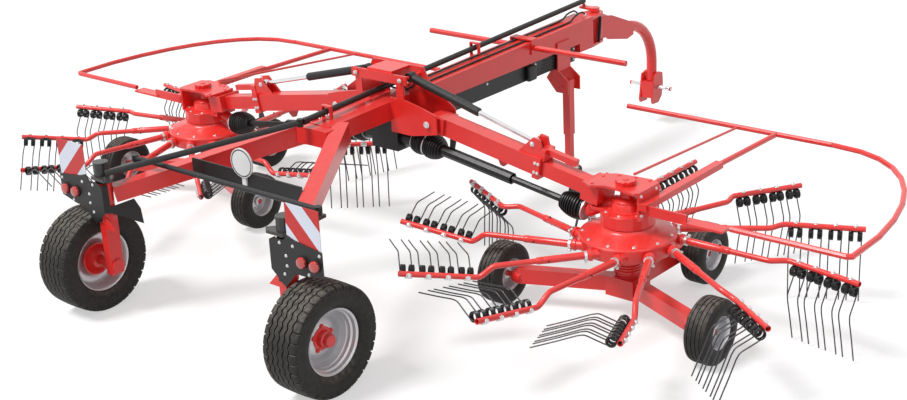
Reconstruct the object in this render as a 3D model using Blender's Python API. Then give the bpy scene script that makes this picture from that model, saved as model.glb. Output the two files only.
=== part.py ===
"""Twin rotor hay rake: a towed frame on two steered road wheels, with a telescoping boom on each side.
Each boom carries a rotor of eleven tine arms on its own three-wheeled carriage, inside a folding guard hoop.
Metres, +Z up, +Y the way it is towed, +X its right side. The origin is on the ground, in the middle
of its box."""

import math

import bmesh
import bpy
from mathutils import Matrix, Vector

# Driving dimensions. Places along Y are counted forward from the rear axle.
GAP = 0.0003  # between pieces that touch
PIN_GAP = 0.0015  # round a pin in its bore
TYRE_R = 0.375
TYRE_W = 0.30
TRACK = 2.27
FRONT_REACH = 5.66  # rear axle to the front of the hitch head
AXLE_Y = (TYRE_R - FRONT_REACH) / 2

BEAM_W = 0.20
BEAM_BOTTOM = 1.085
BEAM_REAR, BEAM_FRONT = 1.25, 4.50
BEAM_TOP_REAR, BEAM_TOP_FRONT = 1.215, 1.28
HOOD_W, HOOD_BOTTOM = 0.16, 0.945
HOOD_REAR, HOOD_FRONT = 2.55, 4.38

KINGPIN_X = 0.90
KINGPIN_R = 0.0445
HOUSING_LOW, HOUSING_TOP, HOUSING_R = 0.80, 1.00, 0.062
LEG_W, LEG_H, LEG_END_H = 0.11, 0.15, 0.11
LEG_START = (0.11, 1.36, 1.155)
LEG_END = (KINGPIN_X - 0.03, 0.06, 0.905)

BOOM_Y = 2.00
HINGE_X, HINGE_Z = 0.455, 1.118
BOOM_DROP = math.radians(9.8)  # the booms slope down outwards
INNER_SIZE = 0.105
BOOM_WALL_GAP = 0.002
BOOM_WALL = 0.0105
BOOM_SIZE = INNER_SIZE + 2 * (BOOM_WALL_GAP + BOOM_WALL)
BOOM_FROM, BOOM_TO = 0.05, 0.965  # along the boom, from its hinge
INNER_FROM = 0.35
SLIDE_IN = 0.20
PLATE_T = 0.015
TOWER_HALF = 0.10  # half the gap between the two tower plates
LIFT_X, LIFT_Z = 0.217, 1.41  # where a lift cylinder stands on the tower
LIFT_EYE_X, LIFT_EYE_Z = 1.349, 1.113
LIFT_BARREL = 0.65
LIFT_BARREL_R, LIFT_ROD_R = 0.032, 0.0175
SHAFT_FOOT = (0.24, 0.93)  # where the driveshaft leaves the gearbox: outwards, and its height
SHAFT_R, SLEEVE_R, SLEEVE_BORE = 0.026, 0.044, 0.036

ROTOR_X = 2.10
SHAFT_HEAD = (ROTOR_X - 0.375, 0.712)  # where the driveshaft meets the rotor head
BOOM_REACH = (ROTOR_X - HINGE_X) / math.cos(BOOM_DROP)  # along the boom from its hinge to the rotor's axis
SLEEVE_BACK, SLEEVE_FRONT = 0.3093595, 0.1693595  # short of that axis, the head's sleeve
INNER_TO = BOOM_REACH - 0.2393595
ARMS = 11
ARM_Z = 0.56
ARM_R = 0.024
ARM_ROOT = 0.34
ROOT_ANGLE = math.radians(197.7)  # of the first arm's root, seen from the rotor's axis
ARM_ANGLE = math.radians(164.4)  # the way the first arm points
CRANK_START, CRANK_END, CRANK_SIDE = 0.66, 0.79, 0.07
BAR_END, BAR_END_SIDE = 1.31, -0.025
LEFT_TURN = math.radians(20.2)  # how far the left rotor stands ahead of a mirror image of the right one
# The cam, in degrees: where an arm's root stands, and how far the arm is turned there. At 0 its tines
# point down.
CAM = ((190, 0), (225, 95), (310, 95), (400, 0))
TINE_PAIRS = 4
TINE_SPREAD = 0.034  # half the space between the two legs of a tine
TINE_R = 0.005
TINE_KNEE = (0.19, 0.06)  # below the bar, and to the trailing side
TINE_TIP = (0.54, -0.02)
DRUM_R, DRUM_LOW, DRUM_TOP = 0.185, 0.69, 0.78
HEAD_TOP, CAP_TOP = 0.965, 0.998
BELL_R, BELL_LOW, BELL_EDGE = 0.33, 0.515, 0.61

SMALL_R, SMALL_W = 0.2225, 0.18
AXLE_PIN_R = 0.02
# The carriage wheels, from the rotor's axis: name, outwards, forwards.
CARRIAGE_WHEELS = (("inner", -0.84, -0.30), ("outer", 0.82, -0.29), ("front", 0.15, 0.76))
CARRIAGE_LOW, CARRIAGE_TOP = 0.185, 0.295

GUARD_Z = 0.845
GUARD_R = 0.02
GUARD_FRONT_Y = 3.70
GUARD_INNER_X = ROTOR_X - 1.12
HEAD_SIDE = ROTOR_X + 0.17 + GAP  # where the guard frame is bolted to the rotor head
HOOP_FRONT_X = ROTOR_X + 0.67
HOOP_REAR_X, HOOP_REAR_Y = ROTOR_X + 0.82, 1.93
HOOP_BEND_X = ROTOR_X + 1.64

YAW_Y = 4.665
YAW_LOW, YAW_TOP = 1.03, 1.25
NECK_R = 0.0475
HITCH_Y, HITCH_Z = 5.565, 0.364
ROD_LEVER = 0.11  # steering rod from the headstock's axis
ROD_FRONT_Z = 1.355
ROD_R = 0.022
ROD_JOINT = (-0.05, 1.107, 1.264)
LUG = (0.114, -0.054, 1.10)  # the rod's lug from the left kingpin, inwards and forwards, and its height
TIE_ARM, TIE_Z = 0.30, 1.085
LEVER_LOW, LEVER_TOP = 1.03, 1.052
CARRIER_Y, CARRIER_T = -0.0675, 0.006

STAND_X, STAND_Y, STAND_Z = 0.15, 4.05, 0.80
STAND_LEG, STAND_INNER = 0.07, 0.056
STAND_TUBE_LOW = 0.36
FOOT_T = 0.012

WHEEL_ROUND = 28
ROUND = 20
SMALL_ROUND = 10


# ---------------------------------------------------------------- shapes


def place(y):
    """A place along Y in the object's frame, from its distance ahead of the rear axle."""
    return AXLE_Y + y


def mesh_piece(points, faces):
    """A helper object from points and faces, with its faces turned outwards."""
    mesh = bpy.data.meshes.new("piece")
    bm = bmesh.new()
    corners = [bm.verts.new(p) for p in points]
    for face in faces:
        bm.faces.new([corners[i] for i in face])
    bmesh.ops.recalc_face_normals(bm, faces=bm.faces)
    bm.to_mesh(mesh)
    bm.free()
    piece = bpy.data.objects.new("piece", mesh)
    bpy.context.scene.collection.objects.link(piece)
    return piece


def stacked(rings, closed=False):
    """A solid whose skin runs through rings of as many points each, capped unless it closes on itself."""
    size = len(rings[0])
    points = [p for ring in rings for p in ring]
    faces = []
    for i in range(len(rings) if closed else len(rings) - 1):
        a, b = i * size, (i + 1) % len(rings) * size
        faces += [(a + j, a + (j + 1) % size, b + (j + 1) % size, b + j) for j in range(size)]
    if not closed:
        faces.append(tuple(range(size)))
        faces.append(tuple(range(len(points) - 1, len(points) - size - 1, -1)))
    return mesh_piece(points, faces)


def block(low, high):
    (x0, y0, z0), (x1, y1, z1) = low, high
    return stacked([[(x0, y0, z), (x1, y0, z), (x1, y1, z), (x0, y1, z)] for z in (z0, z1)])


def plate(outline, axis, low, high):
    """An outline of (y, z), (x, z) or (x, y) points, extruded along axis from low to high."""
    spot = {
        "x": lambda a, b, t: (t, a, b),
        "y": lambda a, b, t: (a, t, b),
        "z": lambda a, b, t: (a, b, t),
    }[axis]
    return stacked([[spot(a, b, t) for a, b in outline] for t in (low, high)])


def turned(profile, centre, axis, steps=ROUND):
    """A ring turned about an axis through centre, from a closed profile of (along, radius) points."""
    cx, cy, cz = centre
    rings = []
    for i in range(steps):
        angle = 2 * math.pi * i / steps
        c, s = math.cos(angle), math.sin(angle)
        if axis == "x":
            rings.append([(cx + a, cy + r * c, cz + r * s) for a, r in profile])
        elif axis == "y":
            rings.append([(cx + r * c, cy + a, cz + r * s) for a, r in profile])
        else:
            rings.append([(cx + r * c, cy + r * s, cz + a) for a, r in profile])
    return stacked(rings, closed=True)


def member(start, end, width, height, end_height=None):
    """A straight box section whose width lies level. It may taper in height towards its end."""
    start, end = Vector(start), Vector(end)
    along = (end - start).normalized()
    side = along.cross(Vector((0, 0, 1))).normalized() * width / 2
    up = side.normalized().cross(along)
    rings = []
    for point, tall in ((start, height), (end, end_height or height)):
        top = up * tall / 2
        rings.append([point + side + top, point - side + top, point - side - top, point + side - top])
    return stacked(rings)


def tube(path, radius, sides=SMALL_ROUND):
    """A round bar along a path, mitred where it bends."""
    path = [Vector(p) for p in path]
    first = (path[1] - path[0]).normalized()
    across = first.orthogonal().normalized()
    rings = []
    for i, point in enumerate(path):
        before = (point - path[i - 1]).normalized() if i else first
        after = (path[i + 1] - point).normalized() if i + 1 < len(path) else before
        middle = (before + after).normalized()
        across = (across - middle * across.dot(middle)).normalized()
        other = middle.cross(across)
        stretch = 1 / max(middle.dot(after), 0.5)
        bend = after - before
        inward = bend.normalized() if bend.length > 1e-6 else None
        ring = []
        for j in range(sides):
            angle = 2 * math.pi * j / sides
            spoke = (across * math.cos(angle) + other * math.sin(angle)) * radius
            if inward is not None:
                spoke += inward * spoke.dot(inward) * (stretch - 1)
            ring.append(point + spoke)
        rings.append(ring)
    return stacked(rings)


def rod(start, end, radius, sides=SMALL_ROUND):
    return tube([start, end], radius, sides)


def pin(x, y, z, axis, low, high, radius, sides=ROUND):
    """A round pin along x, y or z, through (x, y, z), from low to high."""
    ends = {
        "x": ((low, y, z), (high, y, z)),
        "y": ((x, low, z), (x, high, z)),
        "z": ((x, y, low), (x, y, high)),
    }[axis]
    return rod(*ends, radius, sides)


def arc(centre, radius, start, end, steps):
    """Points of an arc in a plane, between two angles in degrees."""
    for i in range(steps + 1):
        angle = math.radians(start + (end - start) * i / steps)
        yield centre[0] + radius * math.cos(angle), centre[1] + radius * math.sin(angle)


def combine(name, pieces, cutters=()):
    """Joins pieces into one solid, takes the cutters away from it, and leaves one plain object."""
    body = pieces[0]
    held = []
    for operation, others in (("UNION", pieces[1:]), ("DIFFERENCE", cutters)):
        if not others:
            continue
        group = bpy.data.collections.new("operands")
        bpy.context.scene.collection.children.link(group)
        for other in others:
            group.objects.link(other)
        modifier = body.modifiers.new(operation.title(), "BOOLEAN")
        modifier.operation = operation
        modifier.solver = "EXACT"
        modifier.operand_type = "COLLECTION"
        modifier.collection = group
        held.append(group)
    graph = bpy.context.evaluated_depsgraph_get()
    mesh = bpy.data.meshes.new_from_object(body.evaluated_get(graph))
    mesh.name = name
    for piece in [*pieces, *cutters]:
        bpy.data.objects.remove(piece, do_unlink=True)
    for group in held:
        bpy.data.collections.remove(group)
    result = bpy.data.objects.new(name, mesh)
    bpy.context.scene.collection.objects.link(result)
    return result


def finished(piece, name, material, pivot=None, smooth=True):
    """Names a piece, gives it its material, and moves its origin to the pivot that it turns on."""
    piece.name = name
    piece.data.name = name
    piece.data.materials.clear()
    piece.data.materials.append(material)
    if pivot is not None:
        piece.data.transform(Matrix.Translation(-Vector(pivot)))
        piece.location = pivot
    if smooth:
        piece.data.shade_smooth()
        piece.data.set_sharp_from_angle(angle=math.radians(35))
    return piece


def mirrored(piece, name):
    """The same piece for the other side of the machine."""
    twin = piece.copy()
    twin.data = piece.data.copy()
    twin.data.transform(Matrix.Scale(-1, 4, (1, 0, 0)))
    twin.data.flip_normals()
    twin.location.x = -twin.location.x
    twin.name = name
    twin.data.name = name
    bpy.context.scene.collection.objects.link(twin)
    return twin


def both(make, name):
    """A right-hand piece and its left-hand twin."""
    right = make(f"{name}_right")
    return right, mirrored(right, f"{name}_left")


def paint(name, colour, roughness, metallic=0.0):
    material = bpy.data.materials.new(name)
    material.use_nodes = True
    shader = material.node_tree.nodes["Principled BSDF"]
    shader.inputs["Base Color"].default_value = (*colour, 1)
    shader.inputs["Roughness"].default_value = roughness
    shader.inputs["Metallic"].default_value = metallic
    return material


# ---------------------------------------------------------------- places on the booms


def on_boom(along, above=0.0, y=0.0):
    """A point of the right boom, from its hinge along its axis and square to it."""
    c, s = math.cos(BOOM_DROP), math.sin(BOOM_DROP)
    return HINGE_X + along * c + above * s, place(BOOM_Y + y), HINGE_Z - along * s + above * c


def boom_box(start, end, low, high, half_width):
    """A block lying along the right boom."""
    rings = []
    for along in (start, end):
        rings.append(
            [on_boom(along, above, y) for above, y in
             ((low, -half_width), (low, half_width), (high, half_width), (high, -half_width))]
        )
    return stacked(rings)


def boom_plate(outline, low, high):
    """An outline of (along, above) points on the right boom, extruded across it."""
    return stacked([[on_boom(along, above, y) for along, above in outline] for y in (low, high)])


# ---------------------------------------------------------------- the towed frame


def beam_top(y):
    share = (y - BEAM_REAR) / (BEAM_FRONT - BEAM_REAR)
    return BEAM_TOP_REAR + share * (BEAM_TOP_FRONT - BEAM_TOP_REAR)


def rod_spot(y):
    """Where the front steering rod's axis is, at a place along the beam."""
    x0, y0, z0 = ROD_JOINT
    share = (y - y0) / (YAW_Y - y0)
    return x0 + share * (-ROD_LEVER - x0), z0 + share * (ROD_FRONT_Z - z0)


def rod_guide(y):
    """A U-shaped bracket on the beam that the steering rod slides through."""
    half, wall, thick = ROD_R + 0.012, 0.010, 0.03
    x, z = rod_spot(y)
    outer = block((x - half - wall, place(y), BEAM_BOTTOM + 0.05),
                  (x + half + wall, place(y) + thick, z + half + wall))
    inner = block((x - half, place(y) - 0.01, beam_top(y) + 0.004),
                  (x + half, place(y) + thick + 0.01, z + half))
    return combine("guide", [outer], [inner])


def main_beam(name):
    """The long box beam, with the yoke that holds the headstock and the brackets that guide the rod."""
    half = BEAM_W / 2
    side = [(place(BEAM_REAR), BEAM_BOTTOM), (place(BEAM_FRONT), BEAM_BOTTOM),
            (place(BEAM_FRONT), BEAM_TOP_FRONT), (place(BEAM_REAR), BEAM_TOP_REAR)]
    pieces = [plate(side, "x", -half, half)]
    yoke = [(-half, place(BEAM_FRONT) - 0.12), (half, place(BEAM_FRONT) - 0.12), (half, place(BEAM_FRONT)),
            *((x, place(YAW_Y) + y) for x, y in arc((0, 0), 0.075, 0, 180, 8)),
            (-half, place(BEAM_FRONT))]
    for low, high in ((YAW_LOW - 0.022, YAW_LOW), (YAW_TOP, YAW_TOP + 0.022)):
        pieces.append(plate(yoke, "z", low, high))
    cheek = [(place(BEAM_FRONT) - 0.2, YAW_LOW - 0.022), (place(BEAM_FRONT), YAW_LOW - 0.022),
             (place(BEAM_FRONT), BEAM_BOTTOM + 0.02), (place(BEAM_FRONT) - 0.2, BEAM_BOTTOM + 0.02)]
    pieces.append(plate(cheek, "x", -half, half))
    pieces += [rod_guide(y) for y in (1.37, 3.10)]
    bore = pin(0, place(YAW_Y), 0, "z", YAW_LOW - 0.1, YAW_TOP + 0.1, 0.03 + PIN_GAP)
    return finished(combine(name, pieces, [bore]), name, RED)


def beam_hood(name):
    """The sheet cover under the beam, over the shaft that drives the centre gearbox."""
    half, wall = HOOD_W / 2, 0.006
    outer = block((-half, place(HOOD_REAR), HOOD_BOTTOM),
                  (half, place(HOOD_FRONT - 0.13), BEAM_BOTTOM - GAP))
    inner = block((-half + wall, place(HOOD_REAR) + wall, HOOD_BOTTOM - 0.01),
                  (half - wall, place(HOOD_FRONT), BEAM_BOTTOM - 0.02))
    return finished(combine(name, [outer], [inner]), name, BLACK, smooth=False)


def centre_gearbox(name):
    """The gearbox that splits the drive, with the shaft that the tractor turns and its two outputs."""
    x, z = SHAFT_FOOT
    x -= 0.012
    low, high = 0.84, BEAM_BOTTOM - GAP
    body = block((-0.13, place(BOOM_Y) - 0.09, low), (0.13, place(BOOM_Y) + 0.09, high))
    outputs = pin(0, place(BOOM_Y), z, "x", -x, x, 0.068, 16)
    shaft = pin(0, 0, 0.985, "y", place(BOOM_Y), place(HOOD_REAR) - 0.01, 0.03)
    return finished(combine(name, [body, outputs, shaft]), name, BLACK)


def input_shaft(name):
    """The drive shaft's splined end, ahead of the hood."""
    shaft = pin(0, 0, 0.985, "y", place(HOOD_REAR) + 0.05, place(HOOD_FRONT) + 0.12, 0.02)
    end = place(HOOD_FRONT)
    bearing = block((-0.05, end - 0.07, 0.945), (0.05, end - 0.02, YAW_LOW - 0.022 - GAP))
    return finished(combine(name, [shaft, bearing]), name, STEEL)


def tower_outline():
    right = [(0.30, 1.00), (0.54, 1.05), (0.54, 1.19), (0.30, 1.36), (0.25, 1.46), (0.12, 1.46)]
    return right + [(-x, z) for x, z in reversed(right)]


def boom_tower(name):
    """Two plates across the beam. They hold the boom hinges and the feet of the lift cylinders."""
    rear = place(BOOM_Y - TOWER_HALF)
    front = place(BOOM_Y + TOWER_HALF)
    outline = tower_outline()
    strap = [(-0.27, 1.375), (0.27, 1.375), (0.27, 1.445), (-0.27, 1.445)]
    corners = [(0.09, 1.0), (0.30, 1.0), (0.54, 1.05), (0.54, 1.19), (0.42, 1.225), (0.235, 1.265),
               (0.235, 1.40), (0.17, 1.40), (0.17, 1.265), (0.09, 1.265)]
    pieces = [plate(outline, "y", front, front + PLATE_T), plate(strap, "y", rear - PLATE_T, rear)]
    pieces.append(block((-0.12, rear - 0.001, 1.44), (0.12, front + 0.001, 1.46)))
    for side in (-1, 1):
        bracket = [(side * a, b) for a, b in corners[::side]]
        pieces.append(plate(bracket, "y", rear - PLATE_T, rear))
        rear_face, front_face = rear - PLATE_T, front + PLATE_T
        pieces.append(pin(side * HINGE_X, 0, HINGE_Z, "y", rear_face - 0.012, front_face + 0.012, 0.022))
        pieces.append(pin(side * LIFT_X, 0, LIFT_Z, "y", rear_face - 0.008, front_face + 0.008, 0.014, 16))
    half = BEAM_W / 2 + GAP
    window = [(-half, 1.0 - 0.1), (half, 1.0 - 0.1), (half, BEAM_BOTTOM), (half, 1.345), (-half, 1.345)]
    cutter = plate(window, "y", rear - 0.1, front + 0.1)
    return finished(combine(name, pieces, [cutter]), name, RED)


def front_guard_bar(name):
    """The bar that stands out on both sides ahead of the rotors, on a strap over the beam."""
    y, z = place(3.645), 1.21
    half = BEAM_W / 2 + GAP
    top = beam_top(3.645) + 0.012
    strap = block((-half - 0.012, y - 0.04, z - 0.05), (half + 0.012, y + 0.04, top + 0.012))
    bars = [rod((side * (half + 0.003), y, z), (side * 1.0, y, z), 0.0235) for side in (-1, 1)]
    inner = block((-half, y - 0.06, z - 0.07), (half, y + 0.06, top))
    return finished(combine(name, [combine("strap", [strap], [inner]), *bars]), name, RED)


def rear_fork(name):
    """The two legs that spread from the beam to the kingpin housings."""
    pieces = []
    for side in (-1, 1):
        start, end = ((side * x, place(y), z) for x, y, z in (LEG_START, LEG_END))
        pieces.append(member(start, end, LEG_W, LEG_H, LEG_END_H))
        pieces.append(pin(side * KINGPIN_X, place(0), 0, "z", HOUSING_LOW, HOUSING_TOP, HOUSING_R))
    pieces.append(block((-0.15, place(1.16), 1.085), (0.15, place(BEAM_REAR) - GAP, 1.21)))
    cutters = [pin(side * KINGPIN_X, place(0), 0, "z", 0.7, 1.1, KINGPIN_R + PIN_GAP) for side in (-1, 1)]
    cutters.append(block((-BEAM_W / 2 - GAP, place(BEAM_REAR) - GAP, 1.0),
                         (BEAM_W / 2 + GAP, place(1.6), 1.4)))
    return finished(combine(name, pieces, cutters), name, RED)


def leg_inner_face(y):
    """How far out the inner face of a fork leg is, at a place along Y."""
    (x0, y0, _), (x1, y1, _) = LEG_START, LEG_END
    centre = x0 + (y - y0) * (x1 - x0) / (y1 - y0)
    return centre - LEG_W / 2 * math.hypot(x1 - x0, y1 - y0) / abs(y1 - y0)


def rear_cross_plate(name):
    """The plate between the fork legs that the signs are fixed to."""
    rear, front = 0.51, 0.522
    outline = [(-leg_inner_face(rear) + GAP, place(rear)), (leg_inner_face(rear) - GAP, place(rear)),
               (leg_inner_face(front) - GAP, place(front)), (-leg_inner_face(front) + GAP, place(front))]
    return finished(plate(outline, "z", 0.985, 1.09), name, BLACK, smooth=False)


def speed_sign(name):
    """A round blank sign on a short post, on the cross plate."""
    disc = rod((0, place(0.485), 1.163), (0, place(0.4965), 1.163), 0.105, ROUND)
    post = block((-0.02, place(0.496), 1.00), (0.02, place(0.51) - GAP, 1.20))
    return finished(combine(name, [disc, post]), name, SIGN_WHITE)


def stand_bracket(name):
    """A saddle round the hood that hangs from the beam's sides, with two cheeks for the stand's pivot."""
    rear, front = place(STAND_Y - 0.09), place(STAND_Y + 0.09)
    half = BEAM_W / 2 + GAP
    saddle = block((-half - 0.012, rear, HOOD_BOTTOM - 0.02), (half + 0.012, front, 1.17))
    inner = block((-half, rear - 0.01, HOOD_BOTTOM - 0.004), (half, front + 0.01, 1.2))
    cheek = [(0.04, HOOD_BOTTOM - 0.012), (-0.01, 0.86), (0.09, 0.745), (0.21, 0.745), (0.21, 0.86),
             (half + 0.010, HOOD_BOTTOM - 0.01)]
    pieces = [combine("saddle", [saddle], [inner])]
    for low in (rear, front - 0.012):
        pieces.append(plate(cheek, "y", low, low + 0.012))
    pieces.append(pin(STAND_X, 0, STAND_Z, "y", rear - 0.008, front + 0.008, 0.012, 16))
    return finished(combine(name, pieces), name, RED)


# ---------------------------------------------------------------- the headstock and the stand


def headstock(name):
    """The block that yaws in the beam's yoke, with the curved neck that reaches down to the hitch."""
    y = place(YAW_Y)
    boss = pin(0, y, 0, "z", YAW_LOW + 0.003, YAW_TOP - 0.003, 0.065)
    post = pin(0, y, 0, "z", YAW_LOW - 0.04, YAW_TOP + 0.06, 0.03)
    cap = pin(0, y, 0, "z", YAW_TOP + 0.028, YAW_TOP + 0.06, 0.045)
    cheek = [(y, 1.24), (y + 0.20, 1.20), (place(5.20), 1.06), (place(5.20), 0.95), (place(5.10), 0.93),
             (y + 0.13, 1.00), (y + 0.09, 1.04), (y, 1.04)]
    cheeks = [plate(cheek, "x", side * 0.045 - 0.006, side * 0.045 + 0.006) for side in (-1, 1)]
    web = plate([(y + 0.02, 1.21), (place(5.15), 1.055), (place(5.15), 0.96), (y + 0.02, 1.06)],
                "x", -0.02, 0.02)
    end = place(HITCH_Y) + 0.015
    bend = ((end - 0.42 + a, 0.60 + b) for a, b in arc((0, 0), 0.42, 80, 0, 8))
    sweep = [(place(5.02), 1.035), *bend, (end, 0.42)]
    neck = tube([(0, a, b) for a, b in sweep], NECK_R, 16)
    lever = plate([(-ROD_LEVER - 0.03, y - 0.03), (-0.02, y - 0.045), (0.03, y - 0.03), (0.03, y + 0.03),
                   (-ROD_LEVER - 0.03, y + 0.02)], "z", YAW_TOP + 0.04, YAW_TOP + 0.06)
    stud = pin(-ROD_LEVER, y, 0, "z", YAW_TOP + 0.05, ROD_FRONT_Z - ROD_R - 0.004, 0.014, 12)
    pieces = [boss, post, cap, *cheeks, web, neck, lever, stud]
    return finished(combine(name, pieces), name, RED, (0, y, 0))


def hitch_head(name):
    """The two cheeks at the foot of the neck and the cross pin that the towing machine holds."""
    y, z = place(HITCH_Y), HITCH_Z
    outline = [(y - 0.09, z - 0.12), (y - 0.075, z - 0.15), (y + 0.02, z - 0.155), (y + 0.075, z - 0.10),
               (y + 0.095, z + 0.02), (y + 0.085, z + 0.12), (y + 0.03, z + 0.14), (y - 0.05, z + 0.12)]
    cheeks = [plate(outline, "x", side * 0.066 - 0.008, side * 0.066 + 0.008) for side in (-1, 1)]
    bridge = block((-0.07, y - 0.07, z - 0.10), (0.07, y + 0.075, z + 0.05))
    cross = pin(0, y, z, "x", -0.22, 0.22, 0.0185)
    socket = pin(0, y + 0.015, 0, "z", z + 0.045, z + 0.3, NECK_R + GAP)
    return finished(combine(name, [*cheeks, bridge, cross], [socket]), name, RED, (0, place(YAW_Y), 0))


def stand_leg(name):
    """The stand's outer tube, pivoted between the bracket's cheeks."""
    half, bore = STAND_LEG / 2, STAND_INNER / 2 + 0.001
    y = place(STAND_Y)
    outer = block((STAND_X - half, y - half, STAND_TUBE_LOW), (STAND_X + half, y + half, STAND_Z + 0.045))
    sleeve = pin(STAND_X, 0, STAND_Z, "y", y - 0.075, y + 0.075, 0.028, 16)
    inner = block((STAND_X - bore, y - bore, STAND_TUBE_LOW - 0.05),
                  (STAND_X + bore, y + bore, STAND_Z - 0.03))
    hole = pin(STAND_X, 0, STAND_Z, "y", y - 0.1, y + 0.1, 0.012 + PIN_GAP, 16)
    return finished(combine(name, [outer, sleeve], [inner, hole]), name, RED, (STAND_X, y, STAND_Z))


def stand_foot(name):
    """The stand's drawn-out inner tube and its foot plate."""
    half, y = STAND_INNER / 2, place(STAND_Y)
    tube_piece = block((STAND_X - half, y - half, FOOT_T / 2),
                       (STAND_X + half, y + half, STAND_TUBE_LOW + 0.12))
    foot = block((STAND_X - 0.09, y - 0.075, 0), (STAND_X + 0.09, y + 0.075, FOOT_T))
    return finished(combine(name, [tube_piece, foot]), name, RED, (STAND_X, y, STAND_Z), smooth=False)


# ---------------------------------------------------------------- steering and road wheels


def front_steering_rod(name):
    """The long rod from the headstock's lever, through its guides, to the joint behind the beam."""
    x, y, z = ROD_JOINT
    front = (-ROD_LEVER, place(YAW_Y), ROD_FRONT_Z)
    return finished(combine(name, [rod((x, place(y) + 0.03, z + 0.001), front, ROD_R),
                                   block((x - 0.02, place(y) + 0.025, z - 0.02),
                                         (x + 0.02, place(y) + 0.08, z + 0.02))]), name, BLACK)


def rear_steering_rod(name):
    """The rod that runs on from there to the left knuckle's lug."""
    x, y, z = ROD_JOINT
    lug = (-KINGPIN_X + LUG[0], place(LUG[1]), LUG[2])
    return finished(combine(name, [rod((x, place(y), z), lug, ROD_R),
                                   pin(x, place(y), 0, "z", z - 0.028, z + 0.028, 0.0235, 16)]),
                    name, BLACK, (x, place(y), z))


def tie_rod(name):
    """The rod that makes both road wheels steer together."""
    x, y = KINGPIN_X, place(TIE_ARM)
    ends = [pin(side * x, y, 0, "z", TIE_Z - 0.022, TIE_Z + 0.022, 0.026, 16) for side in (-1, 1)]
    bar = rod((-x, y, TIE_Z), (x, y, TIE_Z), 0.019)
    return finished(combine(name, [bar, *ends]), name, BLACK, (-x, y, 0))


def knuckle(name):
    """The kingpin with its steering lever, and the strut down the wheel's inner side to the stub axle."""
    x, y = KINGPIN_X, place(0)
    shank = pin(x, y, 0, "z", HOUSING_LOW - 0.06, 1.14, KINGPIN_R)
    cap = pin(x, y, 0, "z", HOUSING_TOP + 0.005, 1.15, 0.054)
    lever = plate([(x - 0.10, y - 0.068), (x + 0.04, y - 0.065), (x + 0.055, y),
                   (x + 0.035, y + TIE_ARM + 0.03), (x - 0.035, y + TIE_ARM + 0.03), (x - 0.055, y + 0.06),
                   (x - 0.14, y - 0.03)],
                  "z", LEVER_LOW, LEVER_TOP)
    posts = [pin(x, y + TIE_ARM, 0, "z", LEVER_TOP - 0.01, TIE_Z - 0.024, 0.016, 12)]
    low = HOUSING_LOW - 0.006
    strut = plate([(y - 0.055, low), (y + 0.055, low), (y + 0.05, TYRE_R - 0.06), (y - 0.05, TYRE_R - 0.06)],
                  "x", x - 0.04, x + 0.025)
    foot = pin(x, y, 0, "z", low - 0.075, low, HOUSING_R)
    gusset = plate([(x - 0.13, low - 0.12), (x, low - 0.12), (x, low - 0.03), (x - 0.045, low - 0.03)],
                   "y", y - 0.055, y - 0.043)
    hub = pin(0, y, TYRE_R, "x", x - 0.055, x + 0.075, 0.05)
    axle = pin(0, y, TYRE_R, "x", x, TRACK / 2 + 0.05, 0.03)
    pieces = [shank, cap, lever, *posts, strut, foot, gusset, hub, axle]
    return finished(combine(name, pieces), name, RED, (x, y, 0))


def rod_lug(left_knuckle):
    """Only the left knuckle takes the steering rod, on a post of its lever."""
    x, y = -KINGPIN_X + LUG[0], place(LUG[1])
    here = left_knuckle.location.copy()
    left_knuckle.data.transform(Matrix.Translation(here))
    left_knuckle.location = (0, 0, 0)
    post = pin(x, y, 0, "z", LEVER_TOP - 0.01, LUG[2] - ROD_R - 0.003, 0.014, 12)
    name = left_knuckle.name
    return finished(combine(name, [left_knuckle, post]), name, RED, here)


def light_carrier(name):
    """The bent plate behind the kingpin. Its rear face holds a board and lamps, its side guards a tyre."""
    front = place(CARRIER_Y)
    back = front - CARRIER_T
    face = [(0.943, 0.70), (1.045, 0.815), (1.131, 0.815), (1.285, 0.855), (1.285, 1.01), (1.05, 1.04),
            (0.99, 1.06), (0.955, 1.02), (0.86, 1.015), (0.826, 0.99), (0.826, 0.80)]
    inner = KINGPIN_X - HOUSING_R - 0.006
    side = [(back + 0.002, 0.80), (back + 0.002, 1.0), (place(-0.022), 1.0), (place(-0.016), 0.832),
            (place(0.19), 0.828), (place(0.235), 0.74), (place(0.248), 0.62), (place(0.132), 0.692),
            (place(-0.005), 0.78)]
    foot = HOUSING_LOW - 0.006
    lug = block((KINGPIN_X - 0.02, front - 0.003, foot - 0.07),
                (KINGPIN_X + 0.05, place(-HOUSING_R) - GAP, foot - 0.01))
    pieces = [plate(face, "y", back, front), plate(side, "x", inner - CARRIER_T, inner), lug]
    return finished(combine(name, pieces), name, BLACK, (KINGPIN_X, place(0), 0), smooth=False)


def stripe_board(name):
    """A square warning board with diagonal stripes, on the carrier's front side."""
    back = place(CARRIER_Y) + GAP
    return finished(block((0.985, back, 0.995), (1.275, back + 0.004, 1.275)), name, SIGN_WHITE,
                    (KINGPIN_X, place(0), 0), smooth=False)


def road_tyre(name):
    half, bead = TYRE_W / 2, 0.212
    profile = [(-0.093, bead), (-half + 0.01, 0.245), (-half, 0.295), (-half + 0.012, 0.345),
               (-half + 0.035, TYRE_R), (half - 0.035, TYRE_R), (half - 0.012, 0.345), (half, 0.295),
               (half - 0.01, 0.245), (0.093, bead)]
    centre = (TRACK / 2, place(0), TYRE_R)
    return finished(turned(profile, centre, "x", WHEEL_ROUND), name, TYRE, centre)


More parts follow.
